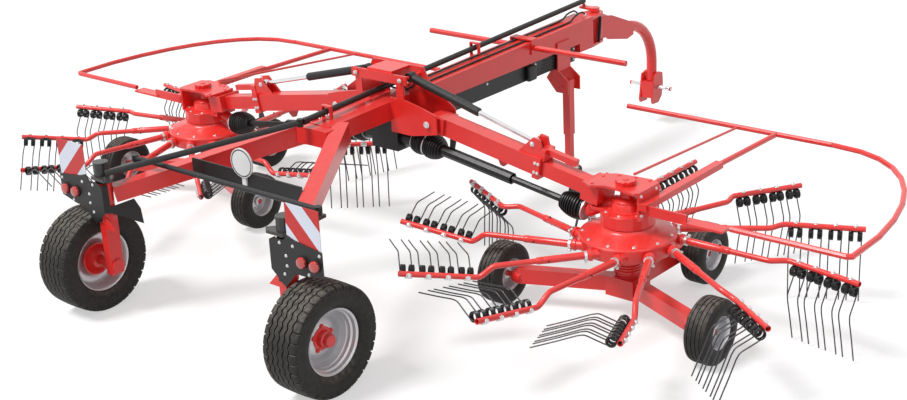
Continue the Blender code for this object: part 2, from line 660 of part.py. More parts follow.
def road_rim(name):
    """The rim and its deep dish, with a bore for the stub axle."""
    bead = 0.212 - GAP
    profile = [(-0.094, bead), (0.094, bead), (0.112, 0.222), (0.118, 0.212), (0.088, 0.188),
               (0.010, 0.180), (-0.010, 0.12), (0.05, 0.06), (0.05, 0.0315), (-0.03, 0.0315),
               (-0.03, 0.19), (-0.09, 0.20)]
    centre = (TRACK / 2, place(0), TYRE_R)
    return finished(turned(profile, centre, "x", WHEEL_ROUND), name, STEEL, centre)


# ---------------------------------------------------------------- booms and their cylinders


def boom(name):
    """The outer boom tube with its hinge root, the lift rod's ears and the lug that rests in transport."""
    half = BOOM_SIZE / 2
    pieces = [boom_box(BOOM_FROM, BOOM_TO, -half, half, half),
              boom_plate([(-0.05, -0.035), (0.0, -0.05), (0.12, -half), (0.12, half), (0.0, 0.05),
                          (-0.05, 0.035)], -0.085, 0.085),
              boom_box(BOOM_TO - 0.035, BOOM_TO + 0.02, -half - 0.015, half + 0.015, half + 0.015)]
    eye = LIFT_EYE_X - HINGE_X
    for side in (-1, 1):
        pieces.append(boom_plate([(eye - 0.12, half - 0.005), (eye + 0.10, half - 0.005), (eye + 0.05, 0.20),
                                  (eye - 0.01, 0.20)], side * 0.045 - 0.008, side * 0.045 + 0.008))
    pieces.append(boom_plate([(0.56, -half + 0.005), (0.70, -half + 0.005), (0.64, -0.13), (0.61, -0.13)],
                             -0.012, 0.012))
    pieces.append(boom_box(eye + 0.10, eye + 0.34, 0.098, 0.142, 0.022))
    pieces.append(boom_box(eye + 0.06, eye + 0.11, half - 0.005, 0.142, 0.06))
    inner = INNER_SIZE / 2 + BOOM_WALL_GAP
    cutters = [boom_box(INNER_FROM - SLIDE_IN - 0.03, BOOM_TO + 0.1, -inner, inner, inner),
               pin(HINGE_X, 0, HINGE_Z, "y", place(BOOM_Y) - 0.2, place(BOOM_Y) + 0.2, 0.022 + PIN_GAP)]
    return finished(combine(name, pieces, cutters), name, RED, (HINGE_X, place(BOOM_Y), HINGE_Z))


def lift_line():
    """From a lift cylinder's foot on the tower to its eye on the boom."""
    foot = Vector((LIFT_X, place(BOOM_Y), LIFT_Z))
    eye = Vector((LIFT_EYE_X, place(BOOM_Y), LIFT_EYE_Z))
    return foot, eye, (eye - foot).normalized()


def lift_barrel(name):
    foot, _, along = lift_line()
    end = foot + along * LIFT_BARREL
    barrel = rod(foot + along * 0.03, end, LIFT_BARREL_R, 16)
    eye = pin(foot.x, 0, foot.z, "y", foot.y - 0.03, foot.y + 0.03, 0.034, 16)
    bore = rod(foot + along * 0.12, end + along * 0.02, LIFT_ROD_R + 0.001, 16)
    hole = pin(foot.x, 0, foot.z, "y", foot.y - 0.05, foot.y + 0.05, 0.014 + PIN_GAP, 16)
    return finished(combine(name, [barrel, eye], [bore, hole]), name, BLACK, foot)


def lift_rod(name):
    foot, eye, along = lift_line()
    start = foot + along * (LIFT_BARREL - 0.04)
    shank = rod(start, eye, LIFT_ROD_R, 16)
    end = pin(eye.x, 0, eye.z, "y", eye.y - 0.022, eye.y + 0.022, 0.03, 16)
    return finished(combine(name, [shank, end]), name, CHROME, foot)


def on_shaft(share):
    """A point on the right driveshaft, from the gearbox to the rotor head."""
    (x0, z0), (x1, z1) = SHAFT_FOOT, SHAFT_HEAD
    return x0 + share * (x1 - x0), place(BOOM_Y), z0 + share * (z1 - z0)


def driveshaft_inner(name):
    """The driveshaft's guard tube, with the bellows over its joint at the gearbox."""
    bellows = rod(on_shaft(0), on_shaft(0.14), 0.066, 16)
    sleeve = rod(on_shaft(0.13), on_shaft(0.60), SLEEVE_R)
    hanger = boom_plate([(0.13, -0.06), (0.19, -0.06), (0.18, -0.17), (0.14, -0.17)], -0.006, 0.006)
    above = boom_box(-0.2, 0.4, -BOOM_SIZE / 2 - GAP, 0.3, 0.2)
    bore = rod(on_shaft(0.16), on_shaft(0.65), SLEEVE_BORE)
    return finished(combine(name, [bellows, sleeve, hanger], [above, bore]), name, BLACK,
                    (HINGE_X, place(BOOM_Y), HINGE_Z))


# ---------------------------------------------------------------- rotor heads and carriages


def boom_inner(name):
    """The inner boom tube, which slides in the outer one to set the working width."""
    half = INNER_SIZE / 2
    return finished(boom_box(INNER_FROM, INNER_TO, -half, half, half), name, RED, smooth=False)


def driveshaft_outer(name):
    """The driveshaft's outer half, which runs in the guard tube, with the bellows at the rotor's gearbox."""
    shaft = rod(on_shaft(0.34), on_shaft(0.93), SHAFT_R)
    bellows = rod(on_shaft(0.90), on_shaft(1), 0.06, 16)
    return finished(combine(name, [shaft, bellows]), name, BLACK)


def rotor_head(name):
    """The welded head at the boom's end: top plate, side plates, gearbox dome and drum over the rotor."""
    x, y = ROTOR_X, place(BOOM_Y)
    top = [(x - 0.235, y - 0.15), (x - 0.19, y - 0.17), (x - 0.10, y - 0.12), (x + 0.05, y - 0.13),
           (x + 0.145, y - 0.15), (x + 0.17, y - 0.10), (x + 0.17, y + 0.10), (x + 0.10, y + 0.15),
           (x - 0.16, y + 0.12), (x - 0.25, y + 0.06)]
    pieces = [plate(top, "z", HEAD_TOP - 0.016, HEAD_TOP)]
    pieces.append(block((x - 0.235, y - 0.10, 0.765), (x + 0.165, y + 0.10, 0.785)))
    for low, half in ((x - 0.235, 0.10), (x + 0.155, 0.125)):
        pieces.append(block((low, y - half, 0.765), (low + 0.015, y + half, HEAD_TOP - 0.001)))
    pieces.append(pin(x, y, 0, "z", DRUM_LOW, DRUM_TOP, DRUM_R))
    pieces.append(pin(x, y, 0, "z", DRUM_TOP - 0.005, 0.85, 0.10))
    pieces.append(pin(x, y, 0, "z", 0.845, HEAD_TOP - 0.01, 0.05))
    pieces.append(pin(x, y - 0.02, 0, "z", HEAD_TOP - 0.01, CAP_TOP, 0.065))
    pieces.append(rod(on_shaft(1.04), (x - 0.08, y, 0.82), 0.045, 16))
    half = INNER_SIZE / 2 + GAP
    sleeve = BOOM_REACH - SLEEVE_BACK, BOOM_REACH - SLEEVE_FRONT
    pieces.append(boom_box(*sleeve, -half - 0.012, half + 0.012, 0.107))
    pieces.append(pin(x, y, 0, "z", CARRIAGE_TOP + 0.01, DRUM_LOW + 0.01, 0.05))
    pieces.append(pin(x, y, 0, "z", CARRIAGE_TOP + 0.01, 0.50, 0.085, 16))
    cutters = [boom_box(INNER_TO - 0.23, INNER_TO + GAP, -half, half, half)]
    return finished(combine(name, pieces, cutters), name, RED)


def carriage(name):
    """Three beams from under the rotor to the stub axles of its wheels."""
    x, y = ROTOR_X, place(BOOM_Y)
    middle = (CARRIAGE_LOW + CARRIAGE_TOP) / 2
    tall = CARRIAGE_TOP - CARRIAGE_LOW
    pieces = [block((x - 0.11, y - 0.11, CARRIAGE_LOW - 0.02),
                    (x + 0.11, y + 0.11, CARRIAGE_TOP + 0.01 - GAP))]
    for _, out, ahead in CARRIAGE_WHEELS:
        inward = -1 if out > 0 else 1
        hub_x = x + out + inward * (SMALL_W / 2 + 0.045)
        pieces.append(member((x, y, middle), (hub_x, y + ahead, middle), 0.085, tall))
        pieces.append(pin(0, y + ahead, SMALL_R, "x", min(hub_x, x + out - inward * 0.03),
                          max(hub_x, x + out - inward * 0.03), AXLE_PIN_R, 16))
        pieces.append(pin(0, y + ahead, SMALL_R, "x", hub_x - 0.035, hub_x + 0.035, 0.05, 16))
    return finished(combine(name, pieces), name, RED)


def carriage_wheel(name, out, ahead):
    """A small wheel, tyre and rim in one, with a bore for its stub axle."""
    half = SMALL_W / 2
    rim = 0.105
    inward = -1 if out > 0 else 1
    bore = AXLE_PIN_R + PIN_GAP
    profile = [(-half + 0.012, rim), (-half, 0.15), (-half + 0.006, 0.19), (-half + 0.03, SMALL_R),
               (half - 0.03, SMALL_R), (half - 0.006, 0.19), (half, 0.15), (half - 0.012, rim),
               (0.035, 0.085), (0.035, bore), (-0.035, bore), (-0.035, 0.085)]
    centre = (ROTOR_X + out, place(BOOM_Y + ahead), SMALL_R)
    return finished(turned([(a * -inward, r) for a, r in profile], centre, "x"), name, TYRE, centre)


def rotor(name, first_turn=0.0):
    """The bell with its eleven cranked tine arms. Each arm carries four double tines on its outer bar."""
    x, y = ROTOR_X, place(BOOM_Y)
    profile = [(DRUM_LOW - 0.006, 0.06), (DRUM_LOW - 0.006, DRUM_R), (BELL_EDGE, BELL_R), (BELL_LOW, BELL_R),
               (BELL_LOW, BELL_R - 0.03), (0.59, 0.20), (0.59, 0.06)]
    pieces = [turned(profile, (x, y, 0), "z", 33)]
    for k in range(ARMS):
        turn = first_turn + 2 * math.pi * k / ARMS
        pieces += tine_arm(Vector((x, y, ARM_Z)), turn, cam_swing(ROOT_ANGLE + turn))
    return finished(combine(name, pieces), name, RED, (x, y, 0))


def cam_swing(angle):
    """How far the cam has turned an arm whose root stands at this angle."""
    first = CAM[0][0]
    degrees = (math.degrees(angle) - first) % 360 + first
    for (a0, swing0), (a1, swing1) in zip(CAM, CAM[1:]):
        if a0 <= degrees <= a1:
            share = (degrees - a0) / (a1 - a0)
            return math.radians(swing0 + (swing1 - swing0) * share * share * (3 - 2 * share))
    return math.radians(CAM[0][1])


def arm_frame(centre, turn, swing):
    """The root of an arm, and the ways along it, to its crank's side and down its tines."""
    root = centre + ARM_ROOT * Vector((math.cos(ROOT_ANGLE + turn), math.sin(ROOT_ANGLE + turn), 0))
    angle = ARM_ANGLE + turn
    along = Vector((math.cos(angle), math.sin(angle), 0))
    level = Vector((-math.sin(angle), math.cos(angle), 0))
    up = Vector((0, 0, 1))
    side = level * math.cos(swing) - up * math.sin(swing)
    down = -up * math.cos(swing) - level * math.sin(swing)
    return root, along, side, down


def tine_arm(centre, turn, swing):
    root, along, side, down = arm_frame(centre, turn, swing)
    bend = CRANK_END - CRANK_START
    crank = [(CRANK_START + bend * t, CRANK_SIDE * (3 - 2 * t) * t * t) for t in (0, 0.25, 0.5, 0.75, 1)]
    path = [(-0.06, 0), *crank, (BAR_END, BAR_END_SIDE)]
    pieces = [tube([root + along * a + side * b for a, b in path], ARM_R, 6)]
    length = math.hypot(BAR_END - CRANK_END, BAR_END_SIDE - CRANK_SIDE)
    bar = Vector((BAR_END - CRANK_END, BAR_END_SIDE - CRANK_SIDE)) / length
    for i in range(TINE_PAIRS):
        spot = length * (i + 0.5) / TINE_PAIRS
        for leg in (-1, 1):
            at = spot + leg * TINE_SPREAD
            start = root + along * (CRANK_END + bar.x * at) + side * (CRANK_SIDE + bar.y * at)
            ways = ((0, 0), TINE_KNEE, TINE_TIP)
            pieces.append(tube([start + down * d - side * t for d, t in ways], TINE_R, 3))
    return pieces


# ---------------------------------------------------------------- guards


def guard_frame(name):
    """The channel and bar that reach forward from the head, the bar across the front, the rear bracket."""
    z, x, y = GUARD_Z, ROTOR_X + 0.19, place(BOOM_Y)
    front = place(GUARD_FRONT_Y)
    pieces = [block((HEAD_SIDE, y - 0.13, z + 0.005), (x + 0.04, place(2.86), z + 0.05)),
              rod((x, place(2.84), z + 0.02), (x, front, z), GUARD_R),
              rod((GUARD_INNER_X, front, z), (HOOP_FRONT_X - 0.03, front, z), GUARD_R),
              rod((ROTOR_X - 0.13, front, z), (ROTOR_X - 0.03, y + 0.13, HEAD_TOP + 0.016), 0.010, 8)]
    pieces.append(block((HEAD_SIDE, y - 0.11, z - 0.03), (HOOP_REAR_X - 0.30, y - 0.095, z + 0.04)))
    pieces.append(block((HOOP_REAR_X - 0.33, place(HOOP_REAR_Y) - 0.05, z - 0.025),
                        (HOOP_REAR_X - 0.03, place(HOOP_REAR_Y) + 0.05, z - 0.010)))
    return finished(combine(name, pieces), name, RED)


def guard_hoop(name):
    """The tube round the rotor's outer side, which folds up on its two ends."""
    z = GUARD_Z
    front, rear = place(GUARD_FRONT_Y), place(HOOP_REAR_Y)
    reach_x, reach_y = HOOP_BEND_X - HOOP_FRONT_X, front - rear
    curve = []
    for i in range(9):
        angle = math.radians(90 - 80 * i / 8)
        out, ahead = (math.cos(angle) / math.cos(math.radians(10))) ** 0.9, math.sin(angle) ** 0.9
        curve.append((HOOP_FRONT_X + reach_x * out, rear + 0.03 + (reach_y - 0.03) * ahead, z))
    path = [(HOOP_FRONT_X - 0.02, front, z), *curve[1:], (HOOP_BEND_X, rear + 0.02, z),
            (HOOP_BEND_X - 0.03, rear, z), (HOOP_REAR_X, rear, z)]
    return finished(combine(name, [tube(path, GUARD_R, 8)]), name, RED, (HOOP_REAR_X, rear, z))


# ---------------------------------------------------------------- putting it together


def pivot(name, location, parent=None):
    """An empty on a joint, which what moves with that joint is parented to."""
    empty = bpy.data.objects.new(name, None)
    empty.location = location
    bpy.context.scene.collection.objects.link(empty)
    attach(parent, empty)
    return empty


def attach(parent, *pieces):
    for piece in pieces:
        if parent is not None:
            bpy.context.view_layer.update()
            piece.parent = parent
            piece.matrix_parent_inverse = parent.matrix_world.inverted()


for old in list(bpy.data.objects):
    bpy.data.objects.remove(old, do_unlink=True)

RED = paint("red_paint", (0.72, 0.035, 0.03), 0.35)
BLACK = paint("black_paint", (0.025, 0.025, 0.028), 0.45)
STEEL = paint("silver_steel", (0.55, 0.56, 0.58), 0.35, 0.9)
CHROME = paint("chrome_rod", (0.8, 0.8, 0.82), 0.12, 1.0)
TYRE = paint("tyre_rubber", (0.035, 0.034, 0.033), 0.8)
SIGN_WHITE = paint("sign_white", (0.75, 0.77, 0.82), 0.4)

frame = pivot("frame", (0, 0, 0))
for make, label in ((main_beam, "main_beam"), (beam_hood, "beam_hood"), (centre_gearbox, "centre_gearbox"),
                    (input_shaft, "input_shaft"), (boom_tower, "boom_tower"), (rear_fork, "rear_fork"),
                    (rear_cross_plate, "rear_cross_plate"), (speed_sign, "speed_sign"),
                    (front_guard_bar, "front_guard_bar"), (stand_bracket, "stand_bracket")):
    attach(frame, make(label))
yaw = pivot("headstock_axis", (0, place(YAW_Y), 0), frame)
attach(yaw, headstock("headstock"), hitch_head("hitch_head"))
stand = pivot("stand_axis", (STAND_X, place(STAND_Y), STAND_Z), frame)
attach(stand, stand_leg("stand_leg"), stand_foot("stand_foot"))
attach(frame, front_steering_rod("front_steering_rod"), rear_steering_rod("rear_steering_rod"),
       tie_rod("tie_rod"))

knuckles = both(knuckle, "knuckle")
for side, piece in zip(("right", "left"), (knuckles[0], rod_lug(knuckles[1]))):
    sign = 1 if side == "right" else -1
    attach(pivot(f"kingpin_{side}", (sign * KINGPIN_X, place(0), 0), frame), piece)
for make, label in ((light_carrier, "light_carrier"), (stripe_board, "stripe_board"),
                    (road_tyre, "road_tyre"), (road_rim, "road_rim")):
    for side, piece in zip(("right", "left"), both(make, label)):
        attach(bpy.data.objects[f"kingpin_{side}"], piece)

for side, sign in (("right", 1), ("left", -1)):
    hinge = pivot(f"boom_axis_{side}", (sign * HINGE_X, place(BOOM_Y), HINGE_Z), frame)
    pivot(f"head_{side}", (sign * ROTOR_X, place(BOOM_Y), 0), hinge)
for make, label, carrier in ((boom, "boom", "boom_axis"),
                             (driveshaft_inner, "driveshaft_inner", "boom_axis"),
                             (boom_inner, "boom_inner", "head"),
                             (driveshaft_outer, "driveshaft_outer", "head"),
                             (rotor_head, "rotor_head", "head"), (guard_frame, "guard_frame", "head"),
                             (guard_hoop, "guard_hoop", "head")):
    for side, piece in zip(("right", "left"), both(make, label)):
        attach(bpy.data.objects[f"{carrier}_{side}"], piece)
attach(bpy.data.objects["head_right"], rotor("rotor_right"))
left_rotor = rotor("rotor_aside", LEFT_TURN)
attach(bpy.data.objects["head_left"], mirrored(left_rotor, "rotor_left"))
bpy.data.objects.remove(left_rotor)
for make, label in ((lift_barrel, "lift_barrel"), (lift_rod, "lift_rod"), (carriage, "carriage")):
    for side, piece in zip(("right", "left"), both(make, label)):
        attach(frame if label != "carriage" else bpy.data.objects[f"head_{side}"], piece)
for spot, out, ahead in CARRIAGE_WHEELS:
    right = carriage_wheel(f"carriage_wheel_{spot}_right", out, ahead)
    left = mirrored(right, f"carriage_wheel_{spot}_left")
    attach(bpy.data.objects["head_right"], right)
    attach(bpy.data.objects["head_left"], left)
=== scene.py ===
"""A twin rotor hay rake: its finishes and visible detail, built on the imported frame."""
import math

import bmesh
import bpy
from mathutils import Matrix, Vector


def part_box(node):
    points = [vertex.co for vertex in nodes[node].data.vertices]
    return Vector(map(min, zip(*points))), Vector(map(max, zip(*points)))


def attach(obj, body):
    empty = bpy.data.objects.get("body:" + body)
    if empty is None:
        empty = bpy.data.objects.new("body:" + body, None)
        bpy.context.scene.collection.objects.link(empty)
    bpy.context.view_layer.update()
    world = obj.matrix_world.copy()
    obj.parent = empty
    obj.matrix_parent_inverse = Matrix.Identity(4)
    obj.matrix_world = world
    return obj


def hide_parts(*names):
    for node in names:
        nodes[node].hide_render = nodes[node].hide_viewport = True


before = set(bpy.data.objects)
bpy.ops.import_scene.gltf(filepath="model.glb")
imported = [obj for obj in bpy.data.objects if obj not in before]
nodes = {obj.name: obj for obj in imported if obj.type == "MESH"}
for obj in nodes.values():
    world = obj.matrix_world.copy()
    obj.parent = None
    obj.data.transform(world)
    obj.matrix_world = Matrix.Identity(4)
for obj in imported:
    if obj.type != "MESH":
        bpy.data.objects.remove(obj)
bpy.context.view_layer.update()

# ---------------------------------------------------------------- Camera
# It stands behind the rake, off its right side and above head height, and looks down across both rotors.
# The lens is long, so the far hitch keeps its size, and the horizon leans a little.
turn, dip, lean = math.radians(40.606), math.radians(21.309), math.radians(-2.823)
ahead = Vector((-math.sin(turn) * math.cos(dip), math.cos(turn) * math.cos(dip), -math.sin(dip)))
level = Vector((math.cos(turn), math.sin(turn), 0))
upright = level.cross(ahead)
right = level * math.cos(lean) + upright * math.sin(lean)
top = upright * math.cos(lean) - level * math.sin(lean)
camera_data = bpy.data.cameras.new("camera")
camera_data.sensor_width = 36
camera_data.lens = 59.86
camera_data.clip_end = 200
camera = bpy.data.objects.new("camera", camera_data)
camera.matrix_world = Matrix.Translation((7.3194, -8.5167, 4.5624)) @ Matrix((right, top, -ahead)).transposed().to_4x4()
bpy.context.scene.collection.objects.link(camera)
bpy.context.scene.camera = camera

# ---------------------------------------------------------------- Floor and studio light
# A white floor runs out past the horizon under a white sky. One broad lamp stands high behind the rake's left side,
# and a weak one fills its right side.
bpy.context.scene.view_settings.view_transform = "Standard"


def lit_for_eyes(tree, strength_socket, dim, bright):
    """Sets a strength to bright where the camera, a reflection or a clear surface looks, and to dim elsewhere."""
    path = tree.nodes.new("ShaderNodeLightPath")
    seen = tree.nodes.new("ShaderNodeMath")
    seen.operation = "MAXIMUM"
    tree.links.new(path.outputs["Is Camera Ray"], seen.inputs[0])
    tree.links.new(path.outputs["Is Glossy Ray"], seen.inputs[1])
    through = tree.nodes.new("ShaderNodeMath")
    through.operation = "MAXIMUM"
    tree.links.new(seen.outputs[0], through.inputs[0])
    tree.links.new(path.outputs["Is Transmission Ray"], through.inputs[1])
    strength = tree.nodes.new("ShaderNodeMapRange")
    strength.inputs["To Min"].default_value = dim
    strength.inputs["To Max"].default_value = bright
    tree.links.new(through.outputs[0], strength.inputs["Value"])
    tree.links.new(strength.outputs["Result"], strength_socket)


sky = bpy.data.worlds.new("sky")
sky.use_nodes = True
bpy.context.scene.world = sky
sky.node_tree.nodes["Background"].inputs["Color"].default_value = (1, 1, 1, 1)
lit_for_eyes(sky.node_tree, sky.node_tree.nodes["Background"].inputs["Strength"], 0.36, 1.0)

floor_material = bpy.data.materials.new("pale_floor")
floor_material.use_nodes = True
floor_shader = floor_material.node_tree.nodes["Principled BSDF"]
floor_shader.inputs["Base Color"].default_value = (0.50, 0.50, 0.50, 1)
floor_shader.inputs["Roughness"].default_value = 0.9
floor_shader.inputs["Specular IOR Level"].default_value = 0.1
floor_shader.inputs["Emission Color"].default_value = (1, 1, 1, 1)
lit_for_eyes(floor_material.node_tree, floor_shader.inputs["Emission Strength"], 0, 0.52)
floor_mesh = bpy.data.meshes.new("floor")
floor_mesh.from_pydata([(-90, -90, 0), (90, -90, 0), (90, 90, 0), (-90, 90, 0)], [], [(0, 1, 2, 3)])
floor_mesh.materials.append(floor_material)
floor = bpy.data.objects.new("floor", floor_mesh)
floor.location.z = -0.001
bpy.context.scene.collection.objects.link(floor)

for lamp_name, strength, softness, comes_from in (("key_lamp", 2.8, 18, (-0.45, -0.8, 1.35)),
                                                  ("fill_lamp", 0.40, 60, (0.9, -0.3, 0.5))):
    lamp_data = bpy.data.lights.new(lamp_name, "SUN")
    lamp_data.energy = strength
    lamp_data.angle = math.radians(softness)
    lamp = bpy.data.objects.new(lamp_name, lamp_data)
    lamp.rotation_euler = Vector(comes_from).to_track_quat("Z", "Y").to_euler()
    bpy.context.scene.collection.objects.link(lamp)

# ---------------------------------------------------------------- Main beam
# A folded and welded box beam of 6 mm steel plate. It is shot blasted and powder coated bright red, with a gloss
# that dulls a little where dust lies. The tower, the yoke plates and the fork are welded to it.


def group_inputs(tree, **values):
    """Named inputs for a shader group: a colour for four numbers, otherwise a plain number."""
    for title, value in values.items():
        kind = "NodeSocketColor" if isinstance(value, tuple) else "NodeSocketFloat"
        socket = tree.interface.new_socket(title.replace("_", " "), in_out="INPUT", socket_type=kind)
        socket.default_value = value


def weathering_group():
    """Outdoor use on a coat of paint: uneven colour, dust on what faces up, and pale wear along the edges."""
    tree = bpy.data.node_groups.new("weathering", "ShaderNodeTree")
    group_inputs(tree, Colour=(0.5, 0.5, 0.5, 1), Roughness=0.4, Dust_colour=(0.45, 0.40, 0.34, 1), Dust=0.1,
                 Wear_colour=(0.6, 0.5, 0.5, 1), Wear=0.3, Scale=6.0)
    tree.interface.new_socket("Colour", in_out="OUTPUT", socket_type="NodeSocketColor")
    tree.interface.new_socket("Roughness", in_out="OUTPUT", socket_type="NodeSocketFloat")
    tree.interface.new_socket("Height", in_out="OUTPUT", socket_type="NodeSocketFloat")
    made, link = tree.nodes.new, tree.links.new
    given, given_out = made("NodeGroupInput"), made("NodeGroupOutput")
    place = made("ShaderNodeTexCoord")

    patches = made("ShaderNodeTexNoise")
    patches.inputs["Detail"].default_value = 6
    link(place.outputs["Object"], patches.inputs["Vector"])
    link(given.outputs["Scale"], patches.inputs["Scale"])
    uneven = made("ShaderNodeMapRange")
    uneven.inputs["To Min"].default_value = 0.86
    uneven.inputs["To Max"].default_value = 1.12
    link(patches.outputs["Fac"], uneven.inputs["Value"])
    tinted = made("ShaderNodeVectorMath")
    tinted.operation = "SCALE"
    link(given.outputs["Colour"], tinted.inputs[0])
    link(uneven.outputs["Result"], tinted.inputs["Scale"])

    faces_up = made("ShaderNodeSeparateXYZ")
    link(place.outputs["Normal"], faces_up.inputs["Vector"])
    lying = made("ShaderNodeMapRange")
    lying.interpolation_type = "SMOOTHSTEP"
    lying.inputs["From Min"].default_value = 0.2
    lying.inputs["To Min"].default_value = 0.12
    link(faces_up.outputs["Z"], lying.inputs["Value"])
    specks = made("ShaderNodeTexNoise")
    specks.inputs["Scale"].default_value = 34
    specks.inputs["Detail"].default_value = 8
    specks.inputs["Roughness"].default_value = 0.7
    link(place.outputs["Object"], specks.inputs["Vector"])
    gathered = made("ShaderNodeMapRange")
    gathered.inputs["From Min"].default_value = 0.35
    gathered.inputs["From Max"].default_value = 0.75
    link(specks.outputs["Fac"], gathered.inputs["Value"])
    settled = made("ShaderNodeMath")
    settled.operation = "MULTIPLY"
    link(lying.outputs["Result"], settled.inputs[0])
    link(gathered.outputs["Result"], settled.inputs[1])
    dusted = made("ShaderNodeMath")
    dusted.operation = "MULTIPLY"
    dusted.use_clamp = True
    link(settled.outputs[0], dusted.inputs[0])
    link(given.outputs["Dust"], dusted.inputs[1])
    under_dust = made("ShaderNodeMix")
    under_dust.data_type = "RGBA"
    link(dusted.outputs[0], under_dust.inputs["Factor"])
    link(tinted.outputs["Vector"], under_dust.inputs["A"])
    link(given.outputs["Dust colour"], under_dust.inputs["B"])

    rounded = made("ShaderNodeBevel")
    rounded.samples = 4
    rounded.inputs["Radius"].default_value = 0.006
    facing = made("ShaderNodeNewGeometry")
    alike = made("ShaderNodeVectorMath")
    alike.operation = "DOT_PRODUCT"
    link(rounded.outputs["Normal"], alike.inputs[0])
    link(facing.outputs["Normal"], alike.inputs[1])
    edge = made("ShaderNodeMapRange")
    edge.inputs["From Min"].default_value = 0.99
    edge.inputs["From Max"].default_value = 0.80
    link(alike.outputs["Value"], edge.inputs["Value"])
    rubbed = made("ShaderNodeMath")
    rubbed.operation = "MULTIPLY"
    link(edge.outputs["Result"], rubbed.inputs[0])
    link(gathered.outputs["Result"], rubbed.inputs[1])
    worn = made("ShaderNodeMath")
    worn.operation = "MULTIPLY"
    worn.use_clamp = True
    link(rubbed.outputs[0], worn.inputs[0])
    link(given.outputs["Wear"], worn.inputs[1])
    with_wear = made("ShaderNodeMix")
    with_wear.data_type = "RGBA"
    link(worn.outputs[0], with_wear.inputs["Factor"])
    link(under_dust.outputs["Result"], with_wear.inputs["A"])
    link(given.outputs["Wear colour"], with_wear.inputs["B"])
    link(with_wear.outputs["Result"], given_out.inputs["Colour"])

    duller = made("ShaderNodeMath")
    duller.operation = "MULTIPLY_ADD"
    duller.inputs[1].default_value = 0.5
    link(dusted.outputs[0], duller.inputs[0])
    link(given.outputs["Roughness"], duller.inputs[2])
    streaked = made("ShaderNodeMath")
    streaked.operation = "MULTIPLY"
    link(duller.outputs[0], streaked.inputs[0])
    link(uneven.outputs["Result"], streaked.inputs[1])
    link(streaked.outputs[0], given_out.inputs["Roughness"])
    link(specks.outputs["Fac"], given_out.inputs["Height"])
    return tree


weathering = weathering_group()


def weathered(name, colour, roughness, dust=0.12, wear=0.25, wear_colour=(0.55, 0.35, 0.32), scale=6.0, bump=0.03,
              metallic=0.0, coat=0.0, shine=0.5):
    """A finish with the weathering group in front of its shader."""
    material = bpy.data.materials.new(name)
    material.use_nodes = True
    tree = material.node_tree
    shader = tree.nodes["Principled BSDF"]
    shader.inputs["Metallic"].default_value = metallic
    shader.inputs["Specular IOR Level"].default_value = shine
    shader.inputs["Coat Weight"].default_value = coat
    shader.inputs["Coat Roughness"].default_value = 0.18
    aged = tree.nodes.new("ShaderNodeGroup")
    aged.node_tree = weathering
    aged.inputs["Colour"].default_value = (*colour, 1)
    aged.inputs["Roughness"].default_value = roughness
    aged.inputs["Dust"].default_value = dust
    aged.inputs["Wear"].default_value = wear
    aged.inputs["Wear colour"].default_value = (*wear_colour, 1)
    aged.inputs["Scale"].default_value = scale
    relief = tree.nodes.new("ShaderNodeBump")
    relief.inputs["Strength"].default_value = bump
    relief.inputs["Distance"].default_value = 0.002
    tree.links.new(aged.outputs["Colour"], shader.inputs["Base Color"])
    tree.links.new(aged.outputs["Roughness"], shader.inputs["Roughness"])
    tree.links.new(aged.outputs["Height"], relief.inputs["Height"])
    tree.links.new(relief.outputs["Normal"], shader.inputs["Normal"])
    return material


def coat_node(material, *names, edge=0.003):
    """Gives CAD nodes a finish and, as plate and tube have, small rounded edges."""
    for name in names:
        node = nodes[name]
        node.data.materials.clear()
        node.data.materials.append(material)
        if edge:
            flat = node.modifiers.new("flats", "DECIMATE")
            flat.decimate_type = "DISSOLVE"
            flat.angle_limit = math.radians(0.6)
            rounded = node.modifiers.new("edges", "BEVEL")
            rounded.width = edge
            rounded.segments = 2
            rounded.limit_method = "ANGLE"
            rounded.angle_limit = math.radians(38)
            rounded.harden_normals = True


red_paint = weathered("red_paint", (0.80, 0.022, 0.018), 0.34, coat=0.35)
coat_node(red_paint, "main_beam")

# ---------------------------------------------------------------- Hood, gearbox and drive under the beam
# A sheet steel hood covers the drive shaft under the beam. Behind it hangs a cast gearbox that splits the drive
# to both sides. Both are powder coated satin black, and the splined shaft end is bare greased steel.
black_paint = weathered("black_paint", (0.012, 0.012, 0.013), 0.40, dust=0.05, wear=0.10, wear_colour=(0.2, 0.2, 0.2),
                        shine=0.35)
bare_steel = weathered("bare_steel", (0.42, 0.42, 0.44), 0.38, dust=0.2, wear=0.1, wear_colour=(0.7, 0.7, 0.7),
                       metallic=0.9)
zinc = weathered("zinc", (0.70, 0.71, 0.72), 0.34, dust=0.15, wear=0.1, wear_colour=(0.8, 0.8, 0.8), metallic=0.85)
coat_node(black_paint, "beam_hood", "centre_gearbox")
coat_node(bare_steel, "input_shaft", edge=0.001)

SIDES = (("right", 1), ("left", -1))


def add_piece(name, bm, material, body, side=1, sharp=35):
    """Makes an object of a mesh built for the right side, mirrored where side is -1, and puts it on a CAD body."""
    bmesh.ops.scale(bm, vec=(side, 1, 1), verts=bm.verts)
    bmesh.ops.recalc_face_normals(bm, faces=bm.faces)
    mesh = bpy.data.meshes.new(name)
    bm.to_mesh(mesh)
    bm.free()
    mesh.materials.append(material)
    mesh.shade_smooth()
    mesh.set_sharp_from_angle(angle=math.radians(sharp))
    obj = bpy.data.objects.new(name, mesh)
    bpy.context.scene.collection.objects.link(obj)
    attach(obj, body)
    return obj


def frame_along(start, end, turned_up=(0, 0, 1)):
    """A matrix at start whose Z runs towards end."""
    way = (Vector(end) - Vector(start)).normalized()
    across = Vector(turned_up).cross(way)
    if across.length < 1e-4:
        across = Vector((1, 0, 0))
    across.normalize()
    return Matrix.Translation(start) @ Matrix((across, way.cross(across), way)).transposed().to_4x4()


